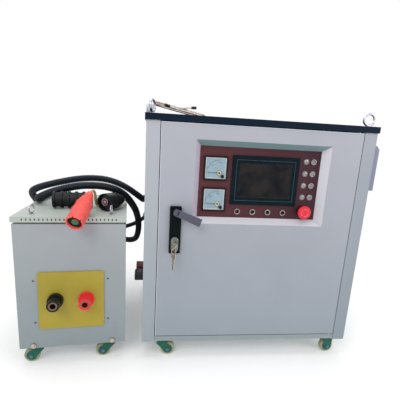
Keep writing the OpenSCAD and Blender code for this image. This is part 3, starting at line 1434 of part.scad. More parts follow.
// The hank in the cabinet's frame: lying flat but for its tilt
function tilt(p) = let (x = p[0] + hank_l / 2, z = p[2] + sensor_d / 2)
  [hank_from[0] + x * cos(hank_tilt) + z * sin(hank_tilt),
  hank_from[1] + hank_w / 2 + p[1],
  slab_top + (hank_l - x) * sin(hank_tilt) + z * cos(hank_tilt) + face_gap];
module sensor_leads() {
  color([0.2, 0.45, 0.4]) place() strand([for (p = hank_path) tilt(p)], sensor_d, hank_sides);
}
hank_start = tilt(hank_path[0]);
hank_start_dir = unit(tilt(hank_path[0]) - tilt(hank_path[1]));
hank_end = tilt(hank_path[len(hank_path) - 1]);
hank_end_dir = unit(hank_end - tilt(hank_path[len(hank_path) - 2]));
module lead_plugs() {
  color([0.75, 0.76, 0.76]) place() {
    translate([grey_at[0], grey_at[1], slab_top + grey_r]) rotate([0, 90, 0]) difference() {
      cylinder(r = grey_r, h = grey_l);
      translate([0, 0, grey_l - hub_out]) cylinder(r = grey_r - plug_wall, h = hub_out + over);
      translate([0, 0, -over]) cylinder(r = plug_core_r, h = hub_out + over);
    }
    aimed(hank_start, hank_start + lead_cap_l * hank_start_dir)
      cylinder(r = lead_cap_r, h = lead_cap_l);
    aimed(hank_end, hank_end + lead_cap_l * hank_end_dir)
      cylinder(r = lead_cap_r, h = lead_cap_l);
  }
}

base_tray();
left_side_panel();
right_side_panel();
rear_panel();
top_slab();
side_hood();
lifting_eyes();
hinge_pins();
heatsink();
power_modules();
fan_frame();
fan_rotor();
side_sockets();
cable_glands();
caster_mounts();
door();
control_plate();
meter_cases();
ammeter_needle();
voltmeter_needle();
screen_bezel();
glass_panes();
button_rings();
indicator_lamps();
button_1();
button_2();
button_3();
button_4();
stop_button_body();
stop_button_head();
sensor_sockets();
lock_plate();
lock_hub();
lock_lever();
lock_key();
unit_shell();
unit_lid();
terminal_plate();
red_terminal();
black_terminal();
transformer();
cab_fork_front();
cab_fork_rear();
unit_fork_left();
unit_fork_right();
cab_wheel_fl();
cab_wheel_rl();
cab_wheel_fr();
cab_wheel_rr();
unit_wheel_fl();
unit_wheel_fr();
unit_wheel_rl();
unit_wheel_rr();
conduit();
link_cable();
jumper_lead();
red_plug();
black_plugs();
sensor_leads();
lead_plugs();
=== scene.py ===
"""Looks of the induction heating machine: a power cabinet and its output unit.

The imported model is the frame. Lengths are in millimetres of the cabinet's or the output
unit's own frame, and cab() and unit() turn them into metres of the row frame. Numbers
that repeat the source's driving sizes are named.
"""
import math

import bmesh
import bpy
from mathutils import Matrix, Vector


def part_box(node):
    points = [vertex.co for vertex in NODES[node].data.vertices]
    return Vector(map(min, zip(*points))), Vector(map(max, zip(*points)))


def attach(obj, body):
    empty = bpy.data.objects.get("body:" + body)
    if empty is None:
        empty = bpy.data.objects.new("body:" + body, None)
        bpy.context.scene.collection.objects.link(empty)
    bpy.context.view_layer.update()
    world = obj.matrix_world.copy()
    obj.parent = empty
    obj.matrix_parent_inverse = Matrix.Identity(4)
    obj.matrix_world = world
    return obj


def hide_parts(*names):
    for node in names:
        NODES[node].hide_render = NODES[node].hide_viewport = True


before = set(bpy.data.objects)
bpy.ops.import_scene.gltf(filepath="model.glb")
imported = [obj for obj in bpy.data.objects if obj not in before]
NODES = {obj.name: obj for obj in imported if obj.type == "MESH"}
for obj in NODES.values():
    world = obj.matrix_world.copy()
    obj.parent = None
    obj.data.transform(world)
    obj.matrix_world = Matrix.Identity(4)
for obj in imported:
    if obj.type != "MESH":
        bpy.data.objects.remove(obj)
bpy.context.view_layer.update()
MM = 0.001

# Where the cabinet's own corner (left panel, door face, floor) lies in the row frame
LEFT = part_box("rear_panel")[0][0]
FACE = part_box("left_side_panel")[0][1]
# The output unit's place and turn against the cabinet
UNIT_AT = Vector((-225.6, -11.9, 0)) * MM
UNIT_YAW = math.radians(5.92)
UNIT_TURN = Matrix.Rotation(UNIT_YAW, 3, "Z")
# Upper face of the cabinet's slab
SLAB_TOP = 840
# Ways out of the fronts of the cabinet and of the output unit
FRONT = Vector((0, -1, 0))
UNIT_FRONT = UNIT_TURN @ FRONT


def cab(x, y, z):
    """A point of the cabinet's own frame, given in millimetres, in the row frame."""
    return Vector((x * MM + LEFT, y * MM + FACE, z * MM))


def unit(x, y, z):
    """A point of the output unit's own frame, given in millimetres, in the row frame."""
    p = UNIT_TURN @ (Vector((x, y, z)) * MM) + UNIT_AT
    return Vector((p.x + LEFT, p.y + FACE, p.z))


# Camera at the photograph's viewing angle: cabinet's frame, radians, pixels

CAMERA_AT = (43.21, -949.58, 736.24)
CAMERA_YAW = 0.10762687
CAMERA_PITCH = 0.20199511
CAMERA_ROLL = 0.05204648
PHOTO_SIZE = 400
FOCAL_PIXELS = 300.88
CENTRE_PIXEL = (189.82, 211.68)
SENSOR = 36.0


def make_camera():
    data = bpy.data.cameras.new("camera")
    fill(data, sensor_width=SENSOR, lens=SENSOR * FOCAL_PIXELS / PHOTO_SIZE,
         shift_x=(PHOTO_SIZE / 2 - CENTRE_PIXEL[0]) / PHOTO_SIZE,
         shift_y=(CENTRE_PIXEL[1] - PHOTO_SIZE / 2) / PHOTO_SIZE, clip_start=0.05, clip_end=50)
    obj = link(bpy.data.objects.new("camera", data))
    forward = Vector((
        math.sin(CAMERA_YAW) * math.cos(CAMERA_PITCH),
        math.cos(CAMERA_YAW) * math.cos(CAMERA_PITCH),
        -math.sin(CAMERA_PITCH),
    ))
    right = Vector((math.cos(CAMERA_YAW), -math.sin(CAMERA_YAW), 0))
    up = right.cross(forward)
    c, s = math.cos(CAMERA_ROLL), math.sin(CAMERA_ROLL)
    x_axis = c * right + s * up
    y_axis = -s * right + c * up
    turn = Matrix((x_axis, y_axis, -forward)).transposed()
    obj.matrix_world = Matrix.Translation(cab(*CAMERA_AT)) @ turn.to_4x4()
    bpy.context.scene.camera = obj


# Materials

def principled(name, color, rough, metal=0.0):
    """A new material and its nodes: (material, tree, shader)."""
    mat = bpy.data.materials.new(name)
    mat.use_nodes = True
    tree = mat.node_tree
    shader = tree.nodes["Principled BSDF"]
    fill(shader, Base_Color=(*color, 1), Roughness=rough, Metallic=metal)
    return mat, tree, shader


def srgb(r, g, b):
    """Linear colour of an sRGB one given as 0 to 255."""
    def one(v):
        v /= 255
        return v / 12.92 if v <= 0.04045 else ((v + 0.055) / 1.055) ** 2.4
    return (one(r), one(g), one(b))


def fill(node, **values):
    """Sets values of a node, or else its inputs of that name."""
    for key, value in values.items():
        if hasattr(node, key):
            setattr(node, key, value)
        else:
            node.inputs[key.replace("_", " ")].default_value = value
    return node


def add(tree, kind, **values):
    return fill(tree.nodes.new(kind), **values)


def wire(socket, node, name):
    """Links an output socket to a node's input."""
    socket.id_data.links.new(socket, node.inputs[name])


def coordinates(tree, kind="Object"):
    """Socket of the place in the piece's own frame, or of the normal."""
    return add(tree, "ShaderNodeTexCoord").outputs[kind]


def axes_of(tree, kind="Object"):
    """The same as its X, Y and Z sockets."""
    axes = add(tree, "ShaderNodeSeparateXYZ")
    wire(coordinates(tree, kind), axes, "Vector")
    return axes.outputs


def object_noise(tree, scale, detail=3.0, stretch=(1, 1, 1)):
    """Noise in the piece's own frame, so that it moves with the piece."""
    mapping = add(tree, "ShaderNodeMapping", Scale=stretch)
    wire(coordinates(tree), mapping, "Vector")
    noise = add(tree, "ShaderNodeTexNoise", Scale=scale, Detail=detail, Roughness=0.6)
    wire(mapping.outputs["Vector"], noise, "Vector")
    return noise.outputs["Fac"]


def ramp_between(tree, source, low, high, dark, light):
    """A colour ramp from dark at low to light at high."""
    ramp = add(tree, "ShaderNodeValToRGB")
    for k, (place, color) in enumerate(((low, dark), (high, light))):
        ramp.color_ramp.elements[k].position = place
        ramp.color_ramp.elements[k].color = (*color, 1)
    wire(source, ramp, "Fac")
    return ramp.outputs["Color"]


def shade(color, factor):
    return tuple(min(1.0, c * factor) for c in color)


def add_bump(tree, shader, height, strength, distance):
    bump = add(tree, "ShaderNodeBump", Strength=strength, Distance=distance)
    wire(height, bump, "Height")
    wire(bump.outputs["Normal"], shader, "Normal")


# Where a finish's patches begin and end in its noise, and its grain's depth in metres
PATCHES = (0.3, 0.7)
GRAIN_DEPTH = 0.0004


def varied(name, color, rough, metal, spread, scale, grain=900.0, bump=0.05,
           stretch=(1, 1, 1), rough_spread=0.08, specular=0.25):
    """A finish with soft patches in its colour and roughness and a fine surface grain."""
    mat, tree, shader = principled(name, color, rough, metal)
    patches = object_noise(tree, scale, stretch=stretch)
    wire(ramp_between(tree, patches, *PATCHES, shade(color, 1 - spread),
                      shade(color, 1 + spread)), shader, "Base Color")
    low = max(0.02, rough - rough_spread)
    high = min(1.0, rough + rough_spread)
    wire(ramp_between(tree, patches, *PATCHES, (low,) * 3, (high,) * 3), shader, "Roughness")
    if grain:
        fine = object_noise(tree, grain, detail=2.0, stretch=stretch)
        add_bump(tree, shader, fine, bump, GRAIN_DEPTH)
    fill(shader, Specular_IOR_Level=specular)
    return mat


def powder_coat(name, color, spread=0.035, specular=0.3):
    """Powder-coated sheet steel: faint orange peel."""
    return varied(name, color, 0.42, 0, spread, 3.5, 420.0, 0.12, specular=specular)


def base_of(mat):
    """(tree, shader, socket of the base colour) of a finish."""
    tree = mat.node_tree
    shader = tree.nodes["Principled BSDF"]
    return tree, shader, shader.inputs["Base Color"].links[0].from_socket


def share_of(tree, value, low, high, **more):
    """How far a value is on its way from low to high, 0 to 1."""
    share = add(tree, "ShaderNodeMapRange", From_Min=low, From_Max=high, **more)
    wire(value, share, "Value")
    return share.outputs["Result"]


def mixed(tree, base, share, tone):
    """base and tone mixed by a share: both sides of the mix are colours."""
    mix = add(tree, "ShaderNodeMix", data_type="RGBA")
    wire(share, mix, "Factor")
    wire(base, mix, 6)
    mix.inputs[7].default_value = (*tone, 1)
    return mix.outputs[2]


def graded(mat, low_tone, top_tone, low, top, axis="Z"):
    """Paint multiplied by low_tone at low and by top_tone at top, along an axis: painted light and
    shade.
    """
    tree, shader, base = base_of(mat)
    share = share_of(tree, axes_of(tree)[axis], low, top)
    tone = ramp_between(tree, share, 0.0, 1.0, low_tone, top_tone)
    mix = add(tree, "ShaderNodeMix", data_type="RGBA", blend_type="MULTIPLY", Factor=1.0)
    wire(base, mix, 6)
    wire(tone, mix, 7)
    wire(mix.outputs[2], shader, "Base Color")
    return mat


# How far a face turns towards a side when that side's tone begins and is full
FACING = (0.4, 0.8)


def painted_light_by_facing(name, color, *tones):
    """Powder coat with painted light and shade: faces turned down, up, left and right take the
    room's tones below, above, left and right of it.
    """
    mat = powder_coat(name, srgb(*color))
    tree, shader, base = base_of(mat)
    axes = axes_of(tree, "Normal")
    for (way, sign), tone in zip((("Z", -1), ("Z", 1), ("X", -1), ("X", 1)), tones):
        share = share_of(tree, axes[way], FACING[0] * sign, FACING[1] * sign)
        base = mixed(tree, base, share, srgb(*tone))
    wire(base, shader, "Base Color")
    return mat


def split_by_x(name, color, past, edge):
    """Plastic of one tone up to a plane across x, and of another past it."""
    mat = varied(name, color, 0.45, 0, 0.05, 40.0)
    tree, shader, base = base_of(mat)
    share = add(tree, "ShaderNodeMath", operation="GREATER_THAN")
    share.inputs[1].default_value = edge
    wire(axes_of(tree)["X"], share, 0)
    base = mixed(tree, base, share.outputs["Value"], past)
    wire(base, shader, "Base Color")
    return mat


# Painted shade low down and painted light at the top: multipliers of the paint low down and at the
# top, and both heights in metres
PAINTED_LIGHT_TONES = ((0.8, 0.85, 0.84), (1.12, 1.06, 1.05))
CAB_HEIGHTS = (0.1, 0.82)
UNIT_HEIGHTS = (0.07, 0.5)
# Painted light and shade from left to right: multipliers at the left and at the right
SHELL_PAINTED_LIGHT = ((1.06, 1.06, 1.06), (0.86, 0.88, 0.91))
PANEL_PAINTED_SHADE = ((0.9, 0.97, 1.12), (0.5, 0.63, 0.95))
# Own colour and the painted shade and light taken by faces turned down, up, left and right
DOOR_PAINTED_LIGHT = ((158, 163, 173), (116, 144, 148), (206, 206, 214), (212, 214, 224), (190, 182, 198))
LEVER_PAINTED_LIGHT = ((78, 78, 92), (14, 16, 20), (92, 92, 106), (60, 60, 74), (40, 40, 50))
# Where the hank's grey connector ends and a black cap begins
CONNECTOR_END = 18.6
# edge is the painted highlight along the door's folds
COATS = {"shell": (158, 164, 172), "unit": (147, 155, 160), "edge": (204, 204, 212),
         "hood": (131, 135, 157), "rear": (158, 164, 173), "lid": (170, 178, 172),
         "tray": (138, 150, 153)}
# Colour (0 to 255, of metals linear), roughness, metal, spread of colour, scale of patches
FINISHES = {
    "bezel_edge": ((62, 84, 92), 0.3, 0, 0.1, 60),
    "bronze": ((0.17, 0.14, 0.1), 0.35, 1, 0.3, 120),
    "cap_nut": ((0.5, 0.42, 0.36), 0.3, 1, 0.2, 120),
    "shade": ((16, 18, 20), 0.8, 0, 0.2, 60, {"grain": 0, "specular": 0.05}),
    "escutcheon": ((0.2, 0.23, 0.21), 0.2, 1, 0.35, 70),
    "zinc": ((0.45, 0.45, 0.45), 0.35, 1, 0.15, 60),
    "chrome": ((0.46, 0.44, 0.5), 0.16, 1, 0.08, 40,
               {"grain": 0, "rough_spread": 0.05}),
    "silver": ((0.33, 0.32, 0.31), 0.3, 1, 0.3, 150),
    "socket_ring": ((0.34, 0.3, 0.28), 0.22, 1, 0.35, 160),
    "alloy": ((0.5, 0.51, 0.52), 0.35, 1, 0.06, 6, {"stretch": (40, 1, 1)}),
    "black": ((18, 20, 23), 0.45, 0, 0.15, 30, {"specular": 0.15}),
    "gloss_black": ((10, 12, 15), 0.2, 0, 0.2, 30, {"specular": 0.3}),
    "module": ((52, 56, 64), 0.5, 0, 0.1, 6),
    "copper": ((0.5, 0.24, 0.13), 0.35, 1, 0.06, 6, {"stretch": (1, 1, 60)}),
    "bright_copper": ((0.62, 0.33, 0.2), 0.25, 1, 0.06, 80),
    "bezel": ((14, 26, 34), 0.4, 0, 0.15, 25, {"specular": 0.06}),
    "dial": ((126, 156, 172), 0.6, 0, 0.06, 30, {"grain": 0}),
    "dial_border": ((196, 206, 210), 0.5, 0, 0.04, 60, {"grain": 0}),
    "dial_ink": ((24, 34, 42), 0.6, 0, 0.1, 90, {"grain": 0}),
    "pivot_ring": ((214, 212, 160), 0.4, 0, 0.05, 90, {"grain": 0}),
    "red_button": ((218, 48, 64), 0.35, 0, 0.08, 40),
    "arrow": ((238, 150, 156), 0.5, 0, 0.04, 60, {"grain": 0}),
    "lock": ((8, 15, 17), 0.4, 0, 0.2, 20, {"specular": 0.06}),
    "key": ((0.5, 0.44, 0.33), 0.28, 1, 0.12, 90),
    "red_term": ((222, 40, 54), 0.32, 0, 0.08, 30),
    "black_term": ((17, 18, 21), 0.3, 0, 0.15, 30),
    "green": ((22, 92, 74), 0.35, 0, 0.15, 25),
    "tread": ((150, 156, 126), 0.6, 0, 0.1, 50),
    "hub": ((82, 108, 136), 0.45, 0, 0.1, 50),
    "conduit": ((16, 25, 35), 0.34, 0, 0.2, 22, {"specular": 0.2}),
    "link": ((24, 27, 35), 0.45, 0, 0.15, 30),
    "tan": ((196, 164, 126), 0.6, 0, 0.1, 60),
    "coral": ((228, 92, 86), 0.55, 0, 0.08, 45),
    "plug_black": ((18, 21, 24), 0.5, 0, 0.2, 40, {"specular": 0.2}),
    "plug_green": ((30, 110, 72), 0.4, 0, 0.12, 80),
    "pink": ((206, 112, 118), 0.5, 0, 0.12, 90),
    "grey_plastic": ((196, 200, 201), 0.5, 0, 0.04, 40),
    "dark_red": ((112, 22, 28), 0.35, 0, 0.12, 40),
    "screw": ((0.09, 0.09, 0.1), 0.4, 0.8, 0.2, 100),
}
MATS = {}


def make_materials():
    m = MATS
    for key, color in COATS.items():
        m[key] = powder_coat(key + "_paint", srgb(*color))
    for key, (color, rough, metal, spread, scale, *more) in FINISHES.items():
        color = color if metal else srgb(*color)
        m[key] = varied(key, color, rough, metal, spread, scale, **dict(*more))
    # Painted shade low down and painted light higher up on the cabinet's, the unit's and the
    # door's paint
    graded(m["shell"], *PAINTED_LIGHT_TONES, *CAB_HEIGHTS)
    # Painted light on the shell's left and painted shade towards its right
    graded(m["shell"], *SHELL_PAINTED_LIGHT, LEFT, cab(750, 0, 0).x, "X")
    graded(m["unit"], *PAINTED_LIGHT_TONES, *UNIT_HEIGHTS)
    # Door and lever: painted light and shade by the way each face turns
    m["door"] = graded(painted_light_by_facing("door_paint", *DOOR_PAINTED_LIGHT), *PAINTED_LIGHT_TONES, *CAB_HEIGHTS)
    m["lever"] = painted_light_by_facing("lever_metal", *LEVER_PAINTED_LIGHT)
    m["slab"] = powder_coat("slab_paint", srgb(16, 30, 45), spread=0.12, specular=0.06)
    # Painted shade growing towards the brown panel's right
    m["panel"] = graded(powder_coat("panel_paint", srgb(94, 52, 51), spread=0.1, specular=0.12),
                        *PANEL_PAINTED_SHADE, cab(190, 0, 0).x, cab(570, 0, 0).x, "X")
    m["screen"] = screen_glass()
    m["pane"] = clear_pane()
    m["yellow"] = yellow_board()
    m["braid"] = braided()
    m["lead_plugs"] = split_by_x("connector_plastic", srgb(178, 184, 196), srgb(22, 24, 28),
                                 cab(CONNECTOR_END, 0, 0).x)


def screen_glass():
    """Unlit operator screen: dark, with the faint teal and brown of what it mirrors."""
    mat, tree, shader = principled("screen_glass", srgb(40, 42, 46), 0.12)
    patches = object_noise(tree, 14.0, detail=4.0)
    wire(ramp_between(tree, patches, 0.35, 0.65, srgb(8, 18, 24), srgb(42, 38, 38)), shader,
         "Base Color")
    fill(shader, Specular_IOR_Level=0.06)
    return mat


def clear_pane():
    """Thin clear window over a meter."""
    mat, tree, shader = principled("clear_pane", (0.92, 0.96, 0.97), 0.06)
    fill(shader, Alpha=0.06, Specular_IOR_Level=0.15)
    haze = object_noise(tree, 20.0)
    wire(ramp_between(tree, haze, *PATCHES, (0.04,) * 3, (0.12,) * 3), shader, "Roughness")
    return mat


def yellow_board():
    """Insulating board: ochre with darker blotches."""
    color = srgb(159, 143, 38)
    mat, tree, shader = principled("yellow_board", color, 0.55)
    blotches = object_noise(tree, 9.0, detail=4.0)
    wire(ramp_between(tree, blotches, 0.25, 0.75, shade(color, 0.86), shade(color, 1.08)),
         shader, "Base Color")
    add_bump(tree, shader, object_noise(tree, 500.0, detail=2.0), 0.15, GRAIN_DEPTH)
    return mat


def braided():
    """Woven glass sleeve: pale, with fine crossing threads."""
    mat, tree, shader = principled("glass_braid", srgb(188, 182, 170), 0.7)
    threads = object_noise(tree, 700.0, detail=2.0)
    patches = object_noise(tree, 30.0)
    wire(ramp_between(tree, patches, 0.35, 0.65, srgb(206, 184, 172), srgb(240, 240, 232)),
         shader, "Base Color")
    add_bump(tree, shader, threads, 0.6, 0.0006)
    return mat


# Mesh helpers

# Radius of the points that stand for one on the axis
ON_AXIS = 0.001


def numbered(name, i):
    return "%s_%d" % (name, i + 1)


def link(obj):
    bpy.context.scene.collection.objects.link(obj)
    return obj


def mesh_object(name, verts, faces, mat, smooth):
    mesh = bpy.data.meshes.new(name)
    mesh.from_pydata([tuple(v) for v in verts], [], faces)
    mesh.update()
    if smooth:
        mesh.shade_smooth()
    mesh.materials.append(MATS[mat])
    obj = link(bpy.data.objects.new(name, mesh))
    return obj


def frame_of(axis):
    """Two unit vectors across an axis."""
    axis = axis.normalized()
    side = Vector((0, 0, 1)) if abs(axis.z) < 0.9 else Vector((1, 0, 0))
    u = side.cross(axis).normalized()
    return u, axis.cross(u)


def around(u, v, count):
    """Unit vectors all round the axis that u and v are across."""
    turns = [2 * math.pi * k / count for k in range(count)]
    return [u * math.cos(a) + v * math.sin(a) for a in turns]


def band(i, j, count):
    """Faces between the rings i and j of count points each."""
    i, j = i * count, j * count
    return [(i + k, i + (k + 1) % count, j + (k + 1) % count, j + k) for k in range(count)]


def lathe(name, start, axis, profile, mat, slot, segments=40):
    """A closed revolved piece. profile is (radius, distance along axis), in mm."""
    axis = axis.normalized()
    ways = around(*frame_of(axis), segments)
    verts = [start + axis * d * MM + way * r * MM for r, d in profile for way in ways]
    faces = []
    for i in range(len(profile)):
        faces += band(i, (i + 1) % len(profile), segments)
    obj = mesh_object(name, verts, faces, mat, True)
    fix_normals(obj)
    sharpen(obj)
    return obj


def fix_normals(obj):
    bm = bmesh.new()
    bm.from_mesh(obj.data)
    bmesh.ops.remove_doubles(bm, verts=bm.verts, dist=1e-7)
    bmesh.ops.recalc_face_normals(bm, faces=bm.faces)
    bm.to_mesh(obj.data)
    bm.free()


def sharpen(obj, angle=35):
    obj.data.shade_smooth()
    bm = bmesh.new()
    bm.from_mesh(obj.data)
    limit = math.radians(angle)
    for e in bm.edges:
        if len(e.link_faces) == 2 and e.calc_face_angle(0) > limit:
            e.smooth = False
    bm.to_mesh(obj.data)
    bm.free()


def annulus(name, start, axis, outer, inner, thick, mat, slot, edge=0.25):
    """A flat ring with a small rounded rim."""
    edge = min(edge, (outer - inner) / 3, thick / 2)
    profile = [(inner, 0), (outer, 0), (outer, thick - edge), (outer - edge, thick),
               (inner + edge, thick), (inner, thick - edge)]
    return lathe(name, start, axis, profile, mat, slot)


def disc(name, start, axis, radius, thick, mat, slot, dome):
    """A closed disc, its face domed by some mm."""
    profile = [(ON_AXIS, 0), (radius, 0), (radius, thick * 0.7), (radius * 0.94, thick),
               (radius * 0.6, thick + dome * 0.6), (radius * 0.3, thick + dome * 0.9),
               (ON_AXIS, thick + dome)]
    return lathe(name, start, axis, profile, mat, slot)


def rect(x0, x1, z0, z1):
    """Corners of an upright rectangle, anticlockwise as seen from the front."""
    return (x0, z0), (x1, z0), (x1, z1), (x0, z1)


def prism(name, corners, way, mat, slot):
    """A closed piece: a flat outline drawn out by the vector way."""
    n = len(corners)
    faces = [tuple(range(n)), tuple(range(2 * n - 1, n - 1, -1))]
    faces += [(i, n + i, n + (i + 1) % n, (i + 1) % n) for i in range(n)]
    obj = mesh_object(name, corners + [c + way for c in corners], faces, mat, False)
    fix_normals(obj)
    return obj


def slab_from(name, corners, depth, mat, slot):
    """A thin prism: corners run anticlockwise as seen from the front, and depth goes back."""
    return prism(name, corners, Vector((0, depth * MM, 0)), mat, slot)


def frame_strip(name, corners, width, depth, mat, slot):
    """A rectangular frame as one closed ring, its inner edge width inside the corners."""
    mid = sum(corners, Vector()) / 4
    inner = []
    for c in corners:
        d = c - mid
        inner.append(mid + Vector((d.x - math.copysign(width * MM, d.x), d.y,
                                   d.z - math.copysign(width * MM, d.z))))
    back = Vector((0, depth * MM, 0))
    rings = [corners, inner, [p + back for p in inner], [p + back for p in corners]]
    faces = []
    for r in range(4):
        faces += band(r, (r + 1) % 4, 4)
    obj = mesh_object(name, [p for ring in rings for p in ring], faces, mat, False)
    fix_normals(obj)
    return obj


def on(body, make, *values):
    """Makes a piece that rides on a body."""
    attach(make(*values), body)


# Lower left corner of the brown panel, on its face
PANEL_CORNER = (173, 30.5, 519)


def panel_point(x, z, y):
    """A point on the brown panel: mm from its left and lower edge, mm in front of it."""
    return cab(PANEL_CORNER[0] + x, PANEL_CORNER[1] - y, PANEL_CORNER[2] + z)


# Cords: the routes repeat those of the source, in millimetres

def catmull(points, steps):
    out = []
    last = len(points) - 1
    for i in range(last):
        a, b, c, d = (points[min(max(i + k, 0), last)] for k in (-1, 0, 1, 2))
        for j in range(steps):
            t = j / steps
            out.append((2 * b + (c - a) * t + (2 * a - 5 * b + 4 * c - d) * t * t
                        + (3 * b - a - 3 * c + d) * t ** 3) / 2)
    out.append(points[last].copy())
    return out


def spaced(points, step):
    """The same line with points a step apart, as near as a whole number of steps allows."""
    runs = [0.0]
    for a, b in zip(points, points[1:]):
        runs.append(runs[-1] + (b - a).length)
    count = max(2, round(runs[-1] / step))
    out = []
    i = 0
    for k in range(count + 1):
        s = runs[-1] * k / count
        while i < len(runs) - 2 and runs[i + 1] < s:
            i += 1
        span = runs[i + 1] - runs[i]
        t = (s - runs[i]) / span if span > 0 else 0.0
        out.append(points[i].lerp(points[i + 1], min(1.0, t)))
    return out


def sweep(name, points, radii, mat, slot, sides=16):
    """A closed tube along points, with a radius at each."""
    verts = []
    faces = []
    u = frame_of((points[1] - points[0]).normalized())[0]
    count = len(points)
    for i, p in enumerate(points):
        t = (points[min(i + 1, count - 1)] - points[max(i - 1, 0)]).normalized()
        u = (u - t * u.dot(t)).normalized()
        verts += [p + way * radii[i] for way in around(u, t.cross(u), sides)]
    for i in range(count - 1):
        faces += band(i, i + 1, sides)
    faces.append(tuple(range(sides - 1, -1, -1)))
    faces.append(tuple((count - 1) * sides + k for k in range(sides)))
    return mesh_object(name, verts, faces, mat, True)


# Face of the unit's rear glands, in the unit's own frame
GLAND_FACE = 472.6
CONDUIT_ROUTE = [
    (95, 622.6, 455), (95, 652, 455), (84, 692, 457), (54, 718, 460),
    (14, 718, 464), (-16, 694, 470), (-30, 654, 476), (-33, 600, 482), (-31, 530, 490),
    (-29, 470, 497), (-35, 425, 511), (-57, 392, 534), (-97, 372, 564), (-142, 361, 586),
    (-191, 353, 598), (-245, 343, 600), (-296, 333, 595), (-350, 320, 584),
    (-400, 308, 571), (-444, 308, 555), (-472, 334, 535), (-480, 380, 502),
    (-474, 430, 462), (-456, 484, 418), (-424, 530, 376), (-376, 556, 340),
    (-320, 564, 314), (-260, 562, 298), (-200, 552, 288), (-150, 536, 283),
    (-113, 519, 283), (-84, 504, 287), (-61, 486, 303), (-49, 459, 341), (-45, 426, 388),
    (-48, 374, 441), (-56, 300, 491), (-80, 224, 546), (-112, 181, 577), (-151, 168, 590),
    (-190, 163, 593), (-232, 161, 591), (-280, 160, 582), (-330, 160, 567),
    (-370, 168, 549), (-393, 188, 536), (-403, 226, 530), (-408, 280, 530),
    (-412, 340, 531), (-412, 400, 532), (-406, 444, 531), (-400, 480, 523),
    (-394, 510, 500), (-388, 524, 468), (-383, 524, 434), (-379, 505, 409)]
CONDUIT_END = [(-100, 500, 400), (-100, GLAND_FACE, 400)]
LINK_ROUTE = [
    (70, 622.6, 410), (70, 646, 410), (60, 676, 407), (34, 694, 403),
    (4, 688, 399), (-17, 662, 396), (-24, 620, 393), (-26, 570, 388), (-42, 542, 380),
    (-75, 532, 362), (-112, 532, 348), (-146, 528, 338), (-168, 512, 333)]
LINK_END = [(100, 492, 330), (100, GLAND_FACE, 330)]
JUMPER_ROUTE = [
    (52, 60, 579), (55, 71, 584.5), (60, 92, 585), (63, 112, 572),
    (63, 130, 549), (64, 150, 530), (66, 172, 522), (74, 194, 520.5), (94, 205, 520),
    (118, 207, 520.5), (138, 206, 523.5), (153, 202, 530), (160.5, 195.5, 537.5),
    (159, 188.5, 542), (154.4, 182.1, 543.1), (148, 172, 543.5)]
CONDUIT_D = 28
RIB_DEEP = 1.6
RIB_STEP = 6.4
LINK_D = 20
JUMPER_D = 9
SENSOR_D = 5
# The hank: its size, its tilt, its place on the slab, and its free ends in its own frame
HANK_L = 185
HANK_W = 62
HANK_TILT = math.radians(11.6)
HANK_FROM = (12, 60)
HANK_LOOPS = 6
HANK_PITCH = 1.14 * SENSOR_D
HANK_CLIMB = 0.5
HANK_TAIL_A = [(-34, -38, 0), (-26, -34.5, 0), (-18, -31.5, 0), (-9, -29.2, 0)]
HANK_TAIL_B = [(9, -28.4, 7.2), (18, -27.5, 10.4), (27, -25, 13.8), (36, -21, 16.5)]
HANK_STEPS = 36
HANK_GAP = 0.3
# Points that stand in for each leg of a route
ROUTE_STEPS = 12


def stadium(r, t):
    """A point at a share t of one turn round a stadium of end radius r."""
    half = (HANK_L - HANK_W) / 2
    turn = math.pi * r
    s = t * (4 * half + 2 * turn)
    if s < half:
        return (s, -r)
    if s < half + turn:
        a = (s - half) / turn * math.pi
        return (half + r * math.sin(a), -r * math.cos(a))
    if s < 3 * half + turn:
        return (2 * half + turn - s, r)
    if s < 3 * half + 2 * turn:
        a = (s - 3 * half - turn) / turn * math.pi
        return (-half - r * math.sin(a), r * math.cos(a))
    return (s - 4 * half - 2 * turn, -r)


def hank_point(x, y, z):
    """From the hank's own frame to the row frame."""
    along = x + HANK_L / 2
    up = z + SENSOR_D / 2
    return cab(
        HANK_FROM[0] + along * math.cos(HANK_TILT) + up * math.sin(HANK_TILT),
        HANK_FROM[1] + HANK_W / 2 + y,
        SLAB_TOP + (HANK_L - along) * math.sin(HANK_TILT) + up * math.cos(HANK_TILT) + HANK_GAP,
    )


def hank_line():
    points = [hank_point(*p) for p in HANK_TAIL_A]
    outer = (HANK_W - SENSOR_D) / 2
    for k in range(HANK_LOOPS * HANK_STEPS + 1):
        u = k / HANK_STEPS
        r = outer - HANK_PITCH * min(u, HANK_LOOPS - u)
        climb = min(1.0, max(0.0, (u - HANK_LOOPS / 2) / HANK_CLIMB + 0.5))
        x, y = stadium(r, u - math.floor(u))
        points.append(hank_point(x, y, HANK_PITCH * climb))
    return points + [hank_point(*p) for p in HANK_TAIL_B]


def stand_in(node, obj, line, diameter, path, **row):
    """Puts a cord in the place of the frame's part, which it hides, and rides it on the frame;
    line, diameter, path and row are not used.
    """
    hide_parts(node)
    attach(obj, "frame")


def smooth_cord(node, name, line, diameter, mat, slot, sides, **row):
    """A round cord along a line, in the place of the frame's."""
    obj = sweep(name, line, [diameter / 2 * MM] * len(line), mat, slot, sides)
    stand_in(node, obj, line, diameter, line, **row)


